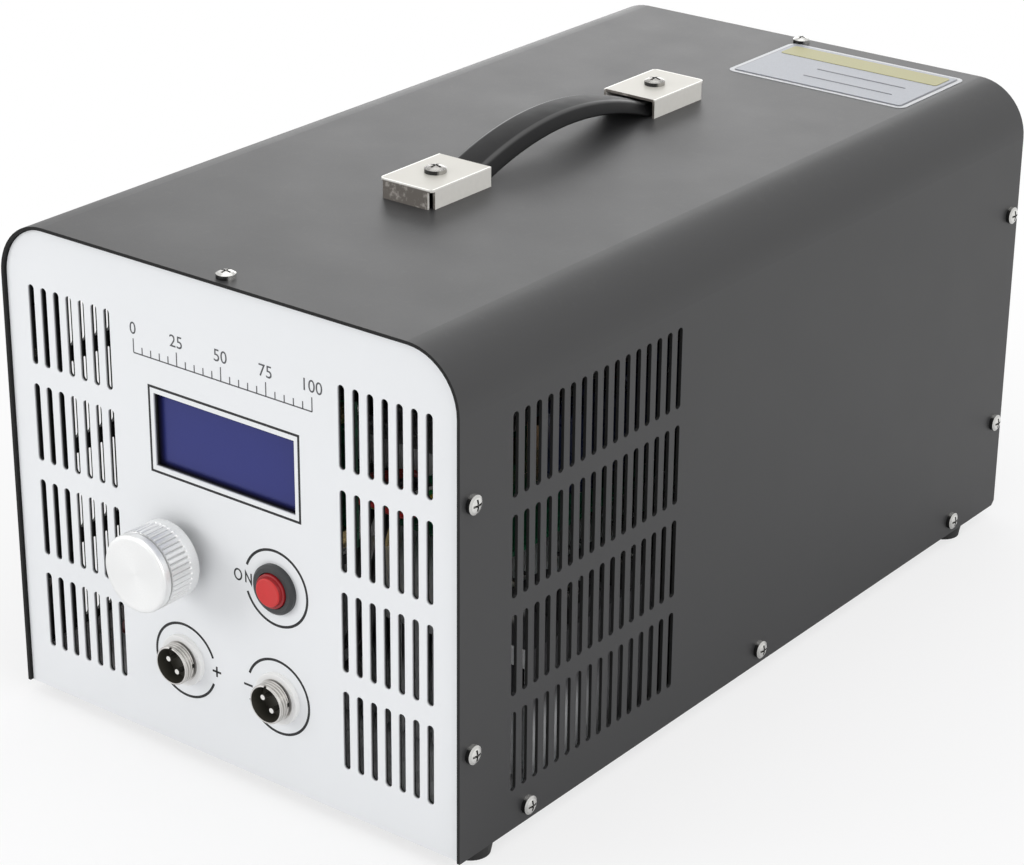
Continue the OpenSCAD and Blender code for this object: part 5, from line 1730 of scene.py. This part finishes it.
@dataclass
class Leads:
    """Power leads and the signal loom, each wire a tube on the route of its solid."""

    board_top: float
    pairs: tuple[LeadPair, ...] = (PLUS_LEADS, MINUS_LEADS)
    start_mm: tuple[Place, ...] = ((0, 0, 0), (0, 2, 0), (0, 6, 0))
    land_in_mm: float = 12
    lead: float = 1.3 * MM
    lead_gap: float = 1.6
    swing: float = 0.5
    pin_pitch: float = 4.5 * MM
    seat: float = 0.15 * MM
    steps: int = 10
    wire: float = 0.8 * MM
    wire_sides: int = 10
    loom_pitch: float = 2.54 * MM
    loom_via: tuple[Place, ...] = ((4, 16, -4), (3, 30, -13), (0, 44, -18), (0, 58, -19))
    loom_reach_mm: float = 66
    loom_landing: tuple[Pair, ...] = ((0, 6), (0, 3), (0, 0))
    loom_colours: tuple[Colour, ...] = (
        (0.7, 0.7, 0.66), (0.02, 0.25, 0.06), (0.6, 0.45, 0.04), (0.45, 0.08, 0.03), (0.6, 0.03, 0.025),
    )

    @staticmethod
    def insulation(name: str, colour: Colour, roughness: float) -> Moulded:
        """The finish of a wire's insulation."""
        return Moulded(name, colour, roughness, grain=0.6 * MM, depth=0.006 * MM)

    def route(self, via: Sequence[Place], land: Place, landing: Sequence[Pair]) -> np.ndarray:
        """A wire's way: straight out of its start, by some places, and down onto the board.

        Args:
            via: Places on the way, in millimetres from the start.
            land: Where it lands, in millimetres from the start.
            landing: The last points, as distances before and above that place.

        Returns:
            Points from the start, in metres.
        """
        x, y, z = land
        ends = [(x, y - before, z + above) for before, above in landing]
        return np.array([*self.start_mm, *via, *ends], float) * MM

    def make_pair(self, pair: LeadPair) -> None:
        """Makes two leads: straight out of the cups, swung wide, side by side on the board.

        Args:
            pair: The two leads' own values.
        """
        low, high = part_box("power_board")
        pins = f"{pair.name}_socket_pins"
        start = middle(pins)
        start.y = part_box(pins)[1].y + self.seat
        land = (
            ((low.x + high.x) / 2 - start.x) / MM - pair.land_left,
            (low.y - start.y) / MM + self.land_in_mm,
            (self.board_top - start.z + self.seat) / MM,
        )
        p = self.route(pair.via, land, pair.landing)
        first, last = 2, len(p) - 3
        f = np.clip((np.arange(len(p)) - first) / (last - first), 0, 1)[:, None]
        swing = 1 + self.swing * np.sin(np.pi * f)
        diagonal = np.array([-1, 0, 1]) / math.sqrt(2) * self.pin_pitch / 2
        beside = self.lead_gap * self.lead * np.array(pair.beside)
        finish = self.insulation(f"{pair.name}_insulation", pair.colour, 0.38)
        for k, side in enumerate((-1, 1)):
            shift = swing * side * ((1 - f) * diagonal + f * beside)
            path = smooth_path(p + shift + np.array(start), self.steps)
            piece = tube(path, self.lead).piece(f"{pair.name}_lead_{k + 1}", finish)
            add_piece(piece, Body.CASE, [f"{pair.name}_leads"])

    def make_loom(self) -> None:
        """Five thin wires from the control board to the power board."""
        low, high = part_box("signal_loom")
        board_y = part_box("control_board")[1].y
        start = Vector((low.x + self.wire, board_y + self.seat, high.z - self.wire))
        land = (0, self.loom_reach_mm, (self.board_top - start.z + self.seat) / MM)
        route = self.route(self.loom_via, land, self.loom_landing) + np.array(start)
        for k, colour in enumerate(self.loom_colours):
            path = smooth_path(route + (k * self.loom_pitch, 0, 0), self.steps)
            finish = self.insulation(f"loom_insulation_{k + 1}", colour, 0.4)
            piece = tube(path, self.wire, self.wire_sides).piece(f"loom_wire_{k + 1}", finish)
            add_piece(piece, Body.CASE, ["signal_loom"])

    def make(self) -> None:
        """Makes every wire."""
        for pair in self.pairs:
            self.make_pair(pair)
        self.make_loom()


@dataclass
class PowerStage:
    """Heat sink, power board and mains supply inside the case."""

    def dress(self) -> None:
        """Finishes the inner solids."""
        dress(SINK_ALUMINIUM, "heat_sink")
        dress(CHIP_BLACK, "power_transistors", "supply_terminals")
        dress(SCREW_PLATE, "transistor_screws")
        dress(BOARD_GREEN, "power_board")
        dress(POST_BRASS, "power_posts")
        dress(SLEEVE_BLUE, "capacitors")
        dress(SHUNT_ALLOY, "shunt_bars")
        dress(SUPPLY_SHEET, "supply_case")


@dataclass
class RearFittings:
    """Fan, guard and mains inlet on the rear panel."""

    rocker_black: Colour = (0.02, 0.02, 0.021)

    def dress(self) -> None:
        """Finishes the rear solids."""
        dress(CASE_BLACK, "fan_frame", "fan_rotor", "inlet_housing", "fuse_drawer")
        dress(GUARD_CHROME, "fan_guard")
        dress(SCREW_PLATE, "fan_screws", "inlet_screws")
        dress(BLADE_NICKEL, "inlet_blades")
        centre = middle("power_rocker")
        rocker = RockerPlastic("rocker_plastic", self.rocker_black, 0.3, (centre.x, centre.z))
        dress(rocker, "power_rocker")


@dataclass
class LidSticker:
    """A blank record sticker on the lid: film with a thin frame, a plain band and empty rules."""

    top_z: float
    front_y: float
    left: float = -2 * MM
    from_front: float = 247.5 * MM
    size: Pair = (67 * MM, 40.2 * MM)
    corner: float = 3 * MM
    corner_steps: int = 40
    lift: float = 0.01 * MM
    film: float = 0.12 * MM
    border: float = 1.6 * MM
    line: float = 0.5 * MM
    band: float = 9.5 * MM
    band_corner: float = 1 * MM
    rules: int = 2
    rule_left: float = 0.35
    rule_long: float = 0.5
    rule_corner: float = 0.2 * MM
    layers: tuple[tuple[str, Finish], ...] = (
        ("film", FILM_WHITE), ("frame", FILM_RULE), ("field", FILM_FIELD),
    )

    def plate(
        self, name: str, low: Pair, size: Pair, corner: float, level: float, finish: Finish
    ) -> None:
        """A thin plate with round corners, lofted from its foot to its top.

        Args:
            name: Name of the piece.
            low: Its left front corner.
            size: Its width and length.
            corner: Radius of its corners.
            level: Height of its foot above the lid.
            finish: Its finish.
        """
        turn = np.linspace(0, 2 * np.pi, self.corner_steps, endpoint=False) + np.pi / self.corner_steps
        ring = np.stack([np.cos(turn), np.sin(turn)], axis=1)
        half = np.array(size) / 2
        loop = np.sign(ring) * (half - corner) + corner * ring + np.array(low) + half
        heights = self.top_z + level + np.array([0.0, 1.0])[:, None] * self.film
        points = np.stack(np.broadcast_arrays(loop[None, :, 0], loop[None, :, 1], heights), axis=-1)
        add_piece(Sheet(points, capped=True).piece(name, finish), Body.CASE)

    def make(self) -> None:
        """Lays the film, the frame, the field, the band and the rules on one another."""
        x, y = self.left, self.front_y + self.from_front
        w, d = self.size
        edges = (0, self.border, self.border + self.line)
        for k, (edge, (name, finish)) in enumerate(zip(edges, self.layers)):
            low, size = (x + edge, y + edge), (w - 2 * edge, d - 2 * edge)
            level = self.lift + k * self.film
            self.plate(f"sticker_{name}", low, size, self.corner - edge, level, finish)
        inset = self.border + 4 * self.line
        rear = y + d - inset - self.band
        level = self.lift + len(self.layers) * self.film
        low, size = (x + inset, rear), (w - 2 * inset, self.band)
        self.plate("sticker_band", low, size, self.band_corner, level, FILM_BAND)
        step = (rear - y - self.border) / (self.rules + 1)
        size = (self.rule_long * w, self.line)
        for k in range(self.rules):
            low = (x + self.rule_left * w, y + self.border + (k + 1) * step)
            self.plate(f"sticker_rule_{k + 1}", low, size, self.rule_corner, level, FILM_RULE)


def main() -> None:
    """Builds the view, the studio and every sub-assembly in order."""
    logging.basicConfig(level=logging.INFO, format="%(message)s")
    ViewPoint().make()
    Studio().make()
    knob, button, plus, minus, window = (front_spot(name) for name in (
        "knob", "button_cap", "plus_socket_shell", "minus_socket_shell", "display_glass",
    ))
    Case().dress()
    FrontPrint(button, plus, minus, window).make()
    Handle().make()
    Display().dress()
    low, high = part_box("knob")
    Knob(knob, knob.y - high.y, knob.y - low.y, (high.x - low.x) / 2).make()
    low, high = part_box("button_cap")
    PushButton(button, (high.x - low.x) / 2, button.y - low.y).make()
    for name, spot in (("plus", plus), ("minus", minus)):
        low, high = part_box(f"{name}_socket_shell")
        ScrewSocket(name, spot, spot.y - high.y, spot.y - low.y).make()
    Leads(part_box("power_board")[1].z).make()
    PowerStage().dress()
    RearFittings().dress()
    low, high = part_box("cover")
    LidSticker(high.z, low.y).make()


if __name__ == "__main__":
    main()
